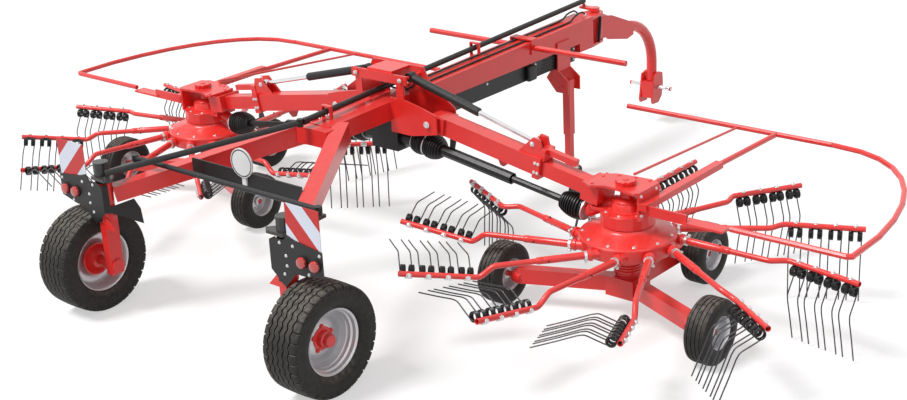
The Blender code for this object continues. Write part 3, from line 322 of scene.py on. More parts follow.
def lathe(bm, at, profile, steps=32):
    """Turns a closed outline of heights and radii round a matrix's Z axis."""
    rings = []
    for step in range(steps):
        angle = 2 * math.pi * step / steps
        rings.append([bm.verts.new(at @ Vector((r * math.cos(angle), r * math.sin(angle), h))) for h, r in profile])
    for one, two in zip(rings, rings[1:] + rings[:1]):
        for i in range(len(profile)):
            j = (i + 1) % len(profile)
            bm.faces.new((one[i], one[j], two[j], two[i]))


def round_bar(bm, start, end, outline, steps=20):
    """A solid turned shape from start towards end. Its outline gives distances along and radii, closed at both ends."""
    at = frame_along(start, end)
    rings = []
    for step in range(steps):
        angle = 2 * math.pi * step / steps
        rings.append([bm.verts.new(at @ Vector((r * math.cos(angle), r * math.sin(angle), h))) for h, r in outline])
    for one, two in zip(rings, rings[1:] + rings[:1]):
        for i in range(len(outline) - 1):
            bm.faces.new((one[i], one[i + 1], two[i + 1], two[i]))
    bm.faces.new([ring[0] for ring in rings])
    bm.faces.new([ring[-1] for ring in rings])


def hose(bm, points, radius, sides=12, bore=0.0):
    """A round bar of even thickness along a row of points. With a bore, its far end is an open tube."""
    points = [Vector(p) for p in points]
    ways = [(b - a).normalized() for a, b in zip(points, points[1:])]
    ways = [ways[0], *[(a + b).normalized() for a, b in zip(ways, ways[1:])], ways[-1]]
    across = ways[0].orthogonal().normalized()
    rings = []
    for point, way in zip(points, ways):
        across = (across - way * across.dot(way)).normalized()
        other = way.cross(across)
        rings.append([bm.verts.new(point + radius * (across * math.cos(a) + other * math.sin(a)))
                      for a in (2 * math.pi * i / sides for i in range(sides))])
    for one, two in zip(rings, rings[1:]):
        for i in range(sides):
            j = (i + 1) % sides
            bm.faces.new((one[i], one[j], two[j], two[i]))
    bm.faces.new(rings[0])
    if bore:
        centre = points[-1]
        for deep in (0, 0.05):
            rings.append([bm.verts.new(centre + (v.co - centre) * bore / radius - ways[-1] * deep) for v in rings[-1]]
                         if deep == 0 else [bm.verts.new(v.co - ways[-1] * deep) for v in rings[-1]])
            for i in range(sides):
                j = (i + 1) % sides
                bm.faces.new((rings[-2][i], rings[-2][j], rings[-1][j], rings[-1][i]))
    bm.faces.new(rings[-1])


def smooth_route(points, steps=8):
    """A smooth curve through the points, as a row of closer points."""
    points = [Vector(p) for p in points]
    padded = [2 * points[0] - points[1], *points, 2 * points[-1] - points[-2]]
    route = []
    for a, b, c, d in zip(padded, padded[1:], padded[2:], padded[3:]):
        for step in range(steps):
            t = step / steps
            route.append(0.5 * (2 * b + (c - a) * t + (2 * a - 5 * b + 4 * c - d) * t * t
                                + (3 * b - a - 3 * c + d) * t ** 3))
    return [*route, points[-1]]


def bolt(bm, at, way, size=0.011, stand=0.008, washer=True):
    """A hexagon head on a washer, lying on a face at a point, with its axis pointing away from that face."""
    at = Vector(at)
    head = frame_along(at, at + Vector(way))
    if washer:
        round_bar(bm, at - Vector(way) * 0.001, at + Vector(way),
                  [(0, size * 1.35), (0.0025, size * 1.35), (0.0032, size * 1.25)], 20)
    sides = []
    for h, r in ((0.0005, size), (stand - 0.001, size), (stand + 0.001, size * 0.82)):
        sides.append([bm.verts.new(head @ Vector((r * math.cos(math.pi * k / 3), r * math.sin(math.pi * k / 3), h)))
                      for k in range(6)])
    for one, two in zip(sides, sides[1:]):
        for k in range(6):
            bm.faces.new((one[k], one[(k + 1) % 6], two[(k + 1) % 6], two[k]))
    bm.faces.new(sides[0])
    bm.faces.new(sides[-1])


hood_low, hood_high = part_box("beam_hood")
for side, sign in SIDES:
    louvres, screws = bmesh.new(), bmesh.new()
    for row in range(4):
        z = hood_low.z + 0.022 + 0.028 * row
        start = Vector((hood_high.x - 0.004, hood_high.y - 0.50 + 0.012 * row, z))
        round_bar(louvres, start, start + Vector((0, 1, 0)),
                  [(0, 0.002), (0.012, 0.010), (0.44, 0.010), (0.452, 0.002)], 10)
    for y, z in ((-0.56, 0.11), (-0.56, 0.02), (-0.02, 0.11), (-0.02, 0.02), (-1.2, 0.11), (-1.75, 0.11)):
        bolt(screws, (hood_high.x, hood_high.y + y, hood_low.z + z), (1, 0, 0), 0.008, 0.006)
    add_piece(f"hood_louvres_{side}", louvres, black_paint, "frame", sign)
    add_piece(f"hood_screws_{side}", screws, zinc, "frame", sign)
bm = bmesh.new()
case = bmesh.ops.create_cube(bm, size=1)["verts"]
bmesh.ops.scale(bm, vec=(0.045, 0.11, 0.125), verts=case)
bmesh.ops.bevel(bm, geom=bm.edges[:], offset=0.014, segments=4, affect="EDGES", profile=0.5)
bmesh.ops.translate(bm, vec=(hood_high.x + 0.020, hood_high.y - 0.645, 1.005), verts=bm.verts)
add_piece("coupling_box", bm, black_paint, "frame", sharp=50)

# ---------------------------------------------------------------- Boom tower
# Two thick plates stand across the beam and carry the boom hinges and the feet of the lift cylinders.
# They are welded on and painted with the beam. Nuts hold the hinge pins.
coat_node(red_paint, "boom_tower")
low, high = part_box("boom_tower")
bm = bmesh.new()
for side in (-1, 1):
    for x, z in ((side * 0.455, 1.118), (side * 0.217, 1.41)):
        bolt(bm, (x, low.y, z), (0, -1, 0), 0.019 if z < 1.2 else 0.013, 0.014)
        bolt(bm, (x, high.y, z), (0, 1, 0), 0.019 if z < 1.2 else 0.013, 0.014)
add_piece("tower_nuts", bm, zinc, "frame")

# ---------------------------------------------------------------- Hydraulic hoses on the beam
# Two black rubber hoses lie clipped along the beam's top, rise over its front end and go into plated couplings on
# the yoke. At the rear each turns down to the foot of its lift cylinder.
beam_low, beam_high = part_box("main_beam")
lift_low, lift_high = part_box("lift_barrel_right")
lift_foot = Vector((lift_low.x + 0.034, (lift_low.y + lift_high.y) / 2, 1.41))
hose_rubber = weathered("hose_rubber", (0.012, 0.012, 0.012), 0.5, dust=0.1, wear=0.1, wear_colour=(0.05, 0.05, 0.05),
                        scale=30, bump=0.1, shine=0.3)
for side, sign in SIDES:
    hoses, couplings = bmesh.new(), bmesh.new()
    clipped = [Vector((0.045, lift_foot.y + 0.16 + 0.23 * k, 1.243 + 0.0046 * k)) for k in range(10)]
    route = [lift_foot + Vector((0, 0.058, -0.03)), lift_foot + Vector((-0.05, 0.075, -0.10)),
             lift_foot + Vector((-0.135, 0.088, -0.14)), *clipped, Vector((0.045, lift_foot.y + 2.32, 1.318)),
             Vector((0.042, lift_foot.y + 2.41, 1.328)), Vector((0.04, lift_foot.y + 2.46, 1.302)),
             Vector((0.04, lift_foot.y + 2.465, 1.285))]
    hose(hoses, smooth_route(route, 6), 0.0075, 10)
    end = route[-1]
    round_bar(couplings, end + Vector((0, 0, 0.022)), end - Vector((0, 0, 1)),
              [(0, 0.009), (0.004, 0.011), (0.016, 0.011), (0.018, 0.0135), (0.030, 0.0135)], 16)
    foot = route[0]
    round_bar(couplings, foot + (route[1] - foot) * 0.35, foot, [(0, 0.0105), (0.024, 0.0105), (0.026, 0.013)], 12)
    add_piece(f"beam_hoses_{side}", hoses, hose_rubber, "frame", sign, 60)
    add_piece(f"hose_couplings_{side}", couplings, zinc, "frame", sign)

# ---------------------------------------------------------------- Rear fork, cross plate and sign
# Two box legs spread from the beam's rear end to the kingpin housings. A black pressed plate joins them and
# carries a round plate on a stem, white with a dark rim.
coat_node(red_paint, "rear_fork")
coat_node(black_paint, "rear_cross_plate", edge=0.001)
low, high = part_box("speed_sign")
disc_centre = Vector((0, low.y, high.z - 0.105))
sign_face = weathered("sign_face", (0.80, 0.81, 0.82), 0.3, dust=0.08, wear=0.05, wear_colour=(0.6, 0.6, 0.6))
tree = sign_face.node_tree
spot = tree.nodes.new("ShaderNodeTexCoord")
off_centre = tree.nodes.new("ShaderNodeVectorMath")
off_centre.operation = "DISTANCE"
off_centre.inputs[1].default_value = disc_centre
tree.links.new(spot.outputs["Object"], off_centre.inputs[0])
rim = tree.nodes.new("ShaderNodeMapRange")
rim.inputs["From Min"].default_value = 0.0885
rim.inputs["From Max"].default_value = 0.0895
tree.links.new(off_centre.outputs["Value"], rim.inputs["Value"])
outer = tree.nodes.new("ShaderNodeMapRange")
outer.inputs["From Min"].default_value = 0.0985
outer.inputs["From Max"].default_value = 0.0975
tree.links.new(off_centre.outputs["Value"], outer.inputs["Value"])
ring = tree.nodes.new("ShaderNodeMath")
ring.operation = "MULTIPLY"
tree.links.new(rim.outputs["Result"], ring.inputs[0])
tree.links.new(outer.outputs["Result"], ring.inputs[1])
inked = tree.nodes.new("ShaderNodeMix")
inked.data_type = "RGBA"
inked.inputs["A"].default_value = (0.80, 0.81, 0.82, 1)
inked.inputs["B"].default_value = (0.02, 0.02, 0.02, 1)
tree.links.new(ring.outputs[0], inked.inputs["Factor"])
tree.links.new(inked.outputs["Result"], next(n for n in tree.nodes if n.type == "GROUP").inputs["Colour"])
coat_node(sign_face, "speed_sign", edge=0)

# ---------------------------------------------------------------- Front bar, headstock, hitch and stand
# The bar over the beam is a bent tube on a strap. The headstock is welded plate round a yaw pin, and its neck is a
# bent tube with a forged head and a plated cross pin. The parking stand is square tube in square tube.
coat_node(red_paint, "front_guard_bar", "headstock", "hitch_head", "stand_bracket", "stand_leg", "stand_foot")

wheel_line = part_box("road_tyre_right")[0].y + 0.375
black_plastic = weathered("black_plastic", (0.009, 0.009, 0.010), 0.36, dust=0.03, wear=0.1,
                          wear_colour=(0.06, 0.06, 0.06), shine=0.35)
chrome = weathered("chrome_rod", (0.78, 0.78, 0.80), 0.12, dust=0.1, wear=0.0, metallic=1.0)
low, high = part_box("hitch_head")
hitch_pin = Vector((0, (low.y + high.y) / 2 - 0.0025, 0.364))
bm = bmesh.new()
for sign in (-1, 1):
    round_bar(bm, hitch_pin + Vector((sign * 0.074, 0, 0)), hitch_pin + Vector((sign, 0, 0)),
              [(0, 0.0195), (0.128, 0.0195), (0.146, 0.012), (0.1465, 0.004)], 24)
    round_bar(bm, hitch_pin + Vector((sign * 0.105, -0.03, 0)), hitch_pin + Vector((sign * 0.105, 1, 0)),
              [(0, 0.004), (0.06, 0.004)], 8)
add_piece("hitch_pins", bm, chrome, "headstock")


def ribbed_boot(bm, start, end, radii, swell, ribs, steps=28):
    """A ribbed rubber boot from start to end. It has these radii at its ends and swells in between."""
    start, end = Vector(start), Vector(end)
    length = (end - start).length
    pitch = length / ribs
    outline = [(0, radii[0] * 0.7), (0, radii[0])]
    for rib in range(ribs):
        share = (rib + 0.5) / ribs
        crest = radii[0] + (radii[1] - radii[0]) * share + swell * math.sqrt(math.sin(math.pi * share))
        valley = crest - 0.55 * pitch
        outline += [(pitch * (rib + 0.12), valley), (pitch * (rib + 0.32), crest - 0.05 * pitch),
                    (pitch * (rib + 0.5), crest), (pitch * (rib + 0.68), crest - 0.05 * pitch),
                    (pitch * (rib + 0.88), valley)]
    outline += [(length, radii[1]), (length, radii[1] * 0.7)]
    round_bar(bm, start, end, outline, steps)


bm = bmesh.new()
ribbed_boot(bm, (0.083, wheel_line + 4.60, 1.025), (0.083, wheel_line + 4.635, 1.245), (0.013, 0.013), 0.004, 22, 16)
add_piece("yoke_spring_boot", bm, black_plastic, "frame")

# ---------------------------------------------------------------- Steering rods
# Three round black rods carry the headstock's turn to the wheels: a long one over the beam, one from there to the
# left knuckle, and the tie rod. Each ends in an eye on a pin.
coat_node(black_paint, "front_steering_rod", "rear_steering_rod", "tie_rod", edge=0.001)

# ---------------------------------------------------------------- Knuckles, light carriers and boards
# Each knuckle is a welded strut under a kingpin. Behind it a bent black plate holds a square board with red
# diagonal stripes and two round red lamps, and guards the tyre's inner side.
stripe_board = weathered("stripe_board", (0.72, 0.76, 0.87), 0.32, dust=0.05, wear=0.05, wear_colour=(0.5, 0.5, 0.5))
knuckle_paint = weathered("knuckle_paint", (0.80, 0.022, 0.018), 0.36, coat=0.2)
tree = knuckle_paint.node_tree
spot = tree.nodes.new("ShaderNodeTexCoord")
axes = tree.nodes.new("ShaderNodeSeparateXYZ")
tree.links.new(spot.outputs["Object"], axes.inputs["Vector"])
above = tree.nodes.new("ShaderNodeMath")
above.operation = "GREATER_THAN"
above.inputs[1].default_value = 0.99
tree.links.new(axes.outputs["Z"], above.inputs[0])
two_coats = tree.nodes.new("ShaderNodeMix")
two_coats.data_type = "RGBA"
two_coats.inputs["A"].default_value = (0.80, 0.022, 0.018, 1)
two_coats.inputs["B"].default_value = (0.012, 0.012, 0.013, 1)
tree.links.new(above.outputs[0], two_coats.inputs["Factor"])
tree.links.new(two_coats.outputs["Result"], next(n for n in tree.nodes if n.type == "GROUP").inputs["Colour"])
for side, sign in SIDES:
    coat_node(knuckle_paint, f"knuckle_{side}")
    coat_node(black_paint, f"light_carrier_{side}", edge=0.001)
    coat_node(stripe_board, f"stripe_board_{side}", edge=0)
low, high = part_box("stripe_board_right")
tree = stripe_board.node_tree
spot = tree.nodes.new("ShaderNodeTexCoord")
axes = tree.nodes.new("ShaderNodeSeparateXYZ")
tree.links.new(spot.outputs["Object"], axes.inputs["Vector"])
outwards = tree.nodes.new("ShaderNodeMath")
outwards.operation = "ABSOLUTE"
tree.links.new(axes.outputs["X"], outwards.inputs[0])
diagonal = tree.nodes.new("ShaderNodeMath")
diagonal.operation = "ADD"
tree.links.new(outwards.outputs[0], diagonal.inputs[0])
tree.links.new(axes.outputs["Z"], diagonal.inputs[1])
along = tree.nodes.new("ShaderNodeMapRange")
along.clamp = False
along.inputs["From Min"].default_value = low.x + low.z
along.inputs["From Max"].default_value = low.x + low.z + high.x - low.x
tree.links.new(diagonal.outputs[0], along.inputs["Value"])
part_way = tree.nodes.new("ShaderNodeMath")
part_way.operation = "FRACT"
tree.links.new(along.outputs["Result"], part_way.inputs[0])
striped = tree.nodes.new("ShaderNodeMath")
striped.operation = "GREATER_THAN"
striped.inputs[1].default_value = 0.5
tree.links.new(part_way.outputs[0], striped.inputs[0])
red_stripes = tree.nodes.new("ShaderNodeMix")
red_stripes.data_type = "RGBA"
red_stripes.inputs["A"].default_value = (0.72, 0.76, 0.87, 1)
red_stripes.inputs["B"].default_value = (0.56, 0.016, 0.014, 1)
tree.links.new(striped.outputs[0], red_stripes.inputs["Factor"])
tree.links.new(red_stripes.outputs["Result"], next(n for n in tree.nodes if n.type == "GROUP").inputs["Colour"])

lamp_lens = bpy.data.materials.new("lamp_lens")
lamp_lens.use_nodes = True
lens_shader = lamp_lens.node_tree.nodes["Principled BSDF"]
lens_shader.inputs["Roughness"].default_value = 0.08
lens_shader.inputs["Coat Weight"].default_value = 1
spot = lamp_lens.node_tree.nodes.new("ShaderNodeTexCoord")
facets = lamp_lens.node_tree.nodes.new("ShaderNodeTexVoronoi")
facets.inputs["Scale"].default_value = 70
facets.inputs["Randomness"].default_value = 0.2
lamp_lens.node_tree.links.new(spot.outputs["Object"], facets.inputs["Vector"])
# The lens colour carries painted light: a painted glow in the middle of each facet, fading to painted shade at its
# edges.
painted_facet_glow = lamp_lens.node_tree.nodes.new("ShaderNodeMix")
painted_facet_glow.data_type = "RGBA"
painted_facet_glow.inputs["A"].default_value = (0.85, 0.035, 0.02, 1)
painted_facet_glow.inputs["B"].default_value = (0.20, 0.002, 0.002, 1)
lamp_lens.node_tree.links.new(facets.outputs["Distance"], painted_facet_glow.inputs["Factor"])
lamp_lens.node_tree.links.new(painted_facet_glow.outputs["Result"], lens_shader.inputs["Base Color"])
facet_relief = lamp_lens.node_tree.nodes.new("ShaderNodeBump")
facet_relief.inputs["Strength"].default_value = 0.5
facet_relief.inputs["Distance"].default_value = 0.003
lamp_lens.node_tree.links.new(facets.outputs["Distance"], facet_relief.inputs["Height"])
lamp_lens.node_tree.links.new(facet_relief.outputs["Normal"], lens_shader.inputs["Normal"])
carrier_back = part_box("light_carrier_right")[0].y
for side, sign in SIDES:
    lenses, bodies, screws = bmesh.new(), bmesh.new(), bmesh.new()
    for x in (1.115, 1.225):
        seat = Vector((x, carrier_back, 0.911))
        round_bar(bodies, seat + Vector((0, 0.004, 0)), seat - Vector((0, 1, 0)),
                  [(0, 0.041), (0.010, 0.041), (0.014, 0.039)], 32)
        round_bar(lenses, seat, seat - Vector((0, 1, 0)),
                  [(0.009, 0.0375), (0.022, 0.0365), (0.028, 0.033), (0.031, 0.024), (0.032, 0.010)], 32)
    for x, z in ((1.035, 0.998), (0.970, 0.919), (0.920, 0.996), (0.972, 0.852), (1.160, 0.837), (0.945, 0.79),
                 (1.262, 0.985)):
        bolt(screws, (x, carrier_back, z), (0, -1, 0), 0.0085, 0.006)
    add_piece(f"lamp_lenses_{side}", lenses, lamp_lens, f"knuckle_{side}", sign)
    add_piece(f"lamp_housings_{side}", bodies, black_plastic, f"knuckle_{side}", sign)
    add_piece(f"carrier_bolts_{side}", screws, zinc, f"knuckle_{side}", sign)

# ---------------------------------------------------------------- Road wheels
# Wide implement tyres with zigzag ribs and blocked shoulders stand on deep welded rims, painted silver.
# The hub in the dish and the brake flange behind it are cast and painted red.
tyre_rubber = weathered("tyre_rubber", (0.014, 0.0135, 0.0135), 0.60, dust=0.5, wear=1.0,
                        wear_colour=(0.12, 0.11, 0.105), scale=14, bump=0.12, shine=0.25)
silver_paint = weathered("silver_paint", (0.60, 0.60, 0.62), 0.33, dust=0.15, wear=0.1, wear_colour=(0.75, 0.75, 0.75),
                         metallic=0.55)
PERIODS = 34
GROOVES = (-0.088, -0.044, 0.0, 0.044, 0.088)
ZIGZAG, GROOVE_W, GROOVE_DEEP = 0.0075, 0.0045, 0.013


def ring_of_rows(bm, centre, rows):
    """A closed ring round an X axis. Each row gives its angle and its cross-section, across and outwards."""
    rings = []
    for angle, section in rows:
        rings.append([bm.verts.new((centre.x + across, centre.y + r * math.cos(angle), centre.z + r * math.sin(angle)))
                      for across, r in section])
    for one, two in zip(rings, rings[1:] + rings[:1]):
        for i in range(len(one)):
            j = (i + 1) % len(one)
            bm.faces.new((one[i], one[j], two[j], two[i]))


def tread_section(zig, in_slot):
    """One cross-section of the road tyre, from bead to bead. The shoulder is lower in a slot between two blocks."""
    shoulder = [(0.128, 0.369), (0.139, 0.362), (0.1455, 0.346), (0.147, 0.338)]
    if in_slot:
        shoulder = [(0.128, 0.358), (0.1345, 0.352), (0.1395, 0.341), (0.143, 0.336)]
    wall = [(0.1445, 0.328), (0.1485, 0.305), (0.1470, 0.275), (0.138, 0.247), (0.118, 0.228), (0.096, 0.2205),
            (0.088, 0.2130)]
    section = [(-x, r) for x, r in reversed(shoulder + wall)]
    for x in GROOVES:
        crown = 0.3745 - 0.0045 * (x / 0.12) ** 2
        middle = x + zig
        section += [(middle - GROOVE_W - 0.001, crown), (middle - GROOVE_W, crown - GROOVE_DEEP),
                    (middle + GROOVE_W, crown - GROOVE_DEEP), (middle + GROOVE_W + 0.001, crown)]
    return section + shoulder + wall


tread_rows = []
for period in range(PERIODS):
    for share, in_slot in ((0.0, True), (0.10, True), (0.14, False), (0.5, False), (0.75, False), (0.96, False)):
        wave = abs(((share + 0.05) % 1) * 4 - 2) - 1
        tread_rows.append((2 * math.pi * (period + share) / PERIODS, tread_section(wave * ZIGZAG, in_slot)))
low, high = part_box("road_tyre_right")
wheel_centre = (low + high) / 2
for side, sign in SIDES:
    bm = bmesh.new()
    ring_of_rows(bm, wheel_centre, tread_rows)
    tyre = add_piece(f"tyre_{side}", bm, tyre_rubber, f"road_wheel_{side}", sign, 32)
    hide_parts(f"road_tyre_{side}")

    axis = frame_along(wheel_centre, wheel_centre + Vector((1, 0, 0)))
    bm = bmesh.new()
    lathe(bm, axis, [(-0.118, 0.219), (-0.114, 0.2225), (-0.107, 0.2195), (-0.103, 0.209), (-0.080, 0.2075),
                     (-0.066, 0.196), (-0.030, 0.194), (-0.018, 0.187), (0.045, 0.187), (0.052, 0.194), (0.072, 0.196),
                     (0.082, 0.2075), (0.103, 0.209), (0.107, 0.2195), (0.114, 0.2225), (0.118, 0.219),
                     (0.116, 0.214), (0.109, 0.205), (0.084, 0.2030), (0.075, 0.1915), (0.055, 0.1895),
                     (0.047, 0.1825), (-0.018, 0.1825), (-0.032, 0.1895), (-0.067, 0.1915), (-0.081, 0.2030),
                     (-0.105, 0.205), (-0.115, 0.214)], 96)
    wheel_disc = [(0.012, 0.034), (0.012, 0.10), (-0.004, 0.135), (-0.014, 0.160), (-0.012, 0.183), (-0.018, 0.183),
                  (-0.021, 0.158), (-0.010, 0.132), (0.005, 0.098), (0.005, 0.034)]
    lathe(bm, axis, wheel_disc, 96)
    rim = add_piece(f"rim_{side}", bm, silver_paint, f"road_wheel_{side}", sign, 40)
    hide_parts(f"road_rim_{side}")

    bm = bmesh.new()
    round_bar(bm, wheel_centre + Vector((0.011, 0, 0)), wheel_centre + Vector((1, 0, 0)),
              [(0, 0.078), (0.010, 0.078), (0.013, 0.060), (0.045, 0.056), (0.050, 0.051), (0.052, 0.044),
               (0.080, 0.042), (0.086, 0.037), (0.087, 0.02)], 40)
    lathe(bm, axis, [(0.004, 0.034), (0.004, 0.095), (-0.040, 0.118), (-0.050, 0.118), (-0.050, 0.112),
                     (-0.020, 0.085), (-0.075, 0.058), (-0.080, 0.034)], 48)
    for k in range(5):
        angle = 2 * math.pi * k / 5 + 0.3
        stud = wheel_centre + Vector((0.012, 0.082 * math.cos(angle), 0.082 * math.sin(angle)))
        bolt(bm, stud, (1, 0, 0), 0.0125, 0.016)
    add_piece(f"hub_{side}", bm, red_paint, f"road_wheel_{side}", sign)

# ---------------------------------------------------------------- Booms
# Each boom is square tube sliding in square tube, hinged on the tower, with two ears for the lift rod's eye.
# A collar with bolted pads guides the inner tube.
for side, sign in SIDES:
    coat_node(red_paint, f"boom_{side}", f"boom_inner_{side}", edge=0.006)
lift_line = (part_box("lift_barrel_right")[0].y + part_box("lift_barrel_right")[1].y) / 2
hinge, boom_slope = Vector((0.455, lift_line, 1.118)), math.radians(9.8)


def on_boom(along, across, above):
    """A point on the right boom: along it from its hinge, across it and above its middle line."""
    return hinge + Vector((along * math.cos(boom_slope) + above * math.sin(boom_slope), across,
                           above * math.cos(boom_slope) - along * math.sin(boom_slope)))


for side, sign in SIDES:
    bm = bmesh.new()
    for along in (0.945, 0.972):
        for above in (-0.035, 0.035):
            for way in (-1, 1):
                bolt(bm, on_boom(along, way * 0.080, above), (0, way, 0), 0.009, 0.009)
        bolt(bm, on_boom(along, 0, 0.080), (math.sin(boom_slope), 0, math.cos(boom_slope)), 0.009, 0.009)
    for way in (-1, 1):
        bolt(bm, on_boom(0.884, way * 0.053, 0.150), (0, way, 0), 0.014, 0.010)
        bolt(bm, on_boom(0.05, way * 0.085, 0), (0, way, 0), 0.009, 0.007)
    add_piece(f"boom_bolts_{side}", bm, zinc, f"boom_{side}", sign)

# ---------------------------------------------------------------- Lift cylinders
# A painted barrel with a screwed gland holds a hard chromed rod that runs to the boom's ears.
# Its gland and the rod's eye are plated.
for side, sign in SIDES:
    coat_node(black_paint, f"lift_barrel_{side}", edge=0.002)
    coat_node(chrome, f"lift_rod_{side}", edge=0.001)

# ---------------------------------------------------------------- Driveshafts
# A guard tube of black plastic turns loosely round each steel shaft. Ribbed bellows cover the joints at the
# gearbox and at the rotor, held by bands.
for side, sign in SIDES:
    coat_node(black_plastic, f"driveshaft_inner_{side}", f"driveshaft_outer_{side}", edge=0.001)
boom_line = (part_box("boom_inner_right")[0].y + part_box("boom_inner_right")[1].y) / 2
shaft_foot, shaft_head = Vector((0.24, boom_line, 0.93)), Vector((1.725, boom_line, 0.712))
for side, sign in SIDES:
    boots, bands = bmesh.new(), bmesh.new()
    ribbed_boot(boots, shaft_foot.lerp(shaft_head, 0.002), shaft_foot.lerp(shaft_head, 0.072), (0.078, 0.080), 0.018, 6)
    ribbed_boot(boots, shaft_foot.lerp(shaft_head, 0.080), shaft_foot.lerp(shaft_head, 0.172), (0.078, 0.050), 0.030, 8)
    for share, r in ((0.001, 0.083), (0.0735, 0.086)):
        band = shaft_foot.lerp(shaft_head, share)
        round_bar(bands, band, shaft_head, [(0, 0.067), (0.0005, r), (0.009, r), (0.0095, 0.067)], 32)
    add_piece(f"gearbox_boots_{side}", boots, black_plastic, f"boom_{side}", sign, 45)
    add_piece(f"gearbox_boot_bands_{side}", bands, zinc, f"boom_{side}", sign)
    boots, bands = bmesh.new(), bmesh.new()
    ribbed_boot(boots, shaft_foot.lerp(shaft_head, 0.893), shaft_foot.lerp(shaft_head, 1.022), (0.050, 0.076), 0.030, 9)
    ring_at = shaft_foot.lerp(shaft_head, 1.022)
    round_bar(bands, ring_at, ring_at * 2 - shaft_foot, [(0, 0.060), (0.001, 0.080), (0.011, 0.080), (0.012, 0.060)], 32)
    add_piece(f"rotor_boots_{side}", boots, black_plastic, f"rotor_head_{side}", sign, 45)
    add_piece(f"rotor_boot_rings_{side}", bands, zinc, f"rotor_head_{side}", sign)

# ---------------------------------------------------------------- Rotor heads, carriages and guards
# Cast and welded steel, painted red: the head over each rotor, the beams under it to the three small wheels, and
# the tube guard round the outside, which folds on two pins.
for side, sign in SIDES:
    coat_node(red_paint, f"rotor_head_{side}", f"carriage_{side}", f"guard_frame_{side}")
    coat_node(red_paint, f"guard_hoop_{side}", edge=0)

CAP_R, CAP_WAVE, CAP_LOBES = 0.068, 0.003, 10
axle_line = Vector((2.10, boom_line, 0))
head_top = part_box("rotor_head_right")[1].z - 0.033
for side, sign in SIDES:
    castings, studs = bmesh.new(), bmesh.new()
    cap_at = axle_line + Vector((0, -0.02, head_top + 0.0005))
    rings = []
    for height, grow in ((0.004, -0.002), (0.007, 0), (0.030, 0), (0.0335, -0.004)):
        rings.append([])
        for k in range(64):
            angle = 2 * math.pi * k / 64
            out = CAP_R + CAP_WAVE * math.cos(CAP_LOBES * angle) + grow
            rings[-1].append(castings.verts.new(cap_at + Vector((out * math.cos(angle), out * math.sin(angle), height))))
    for one, two in zip(rings, rings[1:]):
        for k in range(64):
            castings.faces.new((one[k], one[(k + 1) % 64], two[(k + 1) % 64], two[k]))
    castings.faces.new(rings[0])
    castings.faces.new(rings[-1])
    round_bar(castings, cap_at + Vector((0, 0, 0.032)), cap_at + Vector((0, 0, 1)),
              [(0, 0.022), (0.004, 0.022), (0.007, 0.018)], 24)
    lathe(castings, Matrix.Translation(axle_line), [(0.775, 0.10), (0.775, 0.128), (0.788, 0.128), (0.795, 0.112),
                                                    (0.83, 0.106), (0.852, 0.088), (0.868, 0.060), (0.868, 0.04)], 40)
    lathe(castings, Matrix.Translation(axle_line), [(0.770, 0.15), (0.770, 0.180), (0.776, 0.1845), (0.7805, 0.180),
                                                    (0.7825, 0.165), (0.7825, 0.15)], 64)
    for x, y in ((-0.20, -0.125), (-0.215, 0.03), (-0.13, 0.095), (0.10, 0.115)):
        spot = axle_line + Vector((x, y, head_top))
        round_bar(castings, spot, spot + Vector((0, 0, 1)), [(0, 0.012), (0.004, 0.012), (0.006, 0.010)], 16)
    for y in (-0.10, 0.085):
        for z in (0.80, 0.935):
            bolt(studs, axle_line + Vector((0.1705, y, z)), (1, 0, 0), 0.010, 0.008)
    for k in range(8):
        angle = math.pi * k / 4 + 0.2
        spot = axle_line + Vector((0.155 * math.cos(angle), 0.155 * math.sin(angle), 0.781))
        bolt(studs, spot, (0, 0, 1), 0.009, 0.007)
    add_piece(f"head_castings_{side}", castings, red_paint, f"rotor_head_{side}", sign)
    add_piece(f"head_bolts_{side}", studs, zinc, f"rotor_head_{side}", sign)
    bm = bmesh.new()
    ribbed_boot(bm, axle_line + Vector((0, 0, 0.318)), axle_line + Vector((0, 0, 0.50)), (0.088, 0.088), 0.010, 9, 40)
    add_piece(f"pillar_boot_{side}", bm, red_paint, f"rotor_head_{side}", sign, 45)

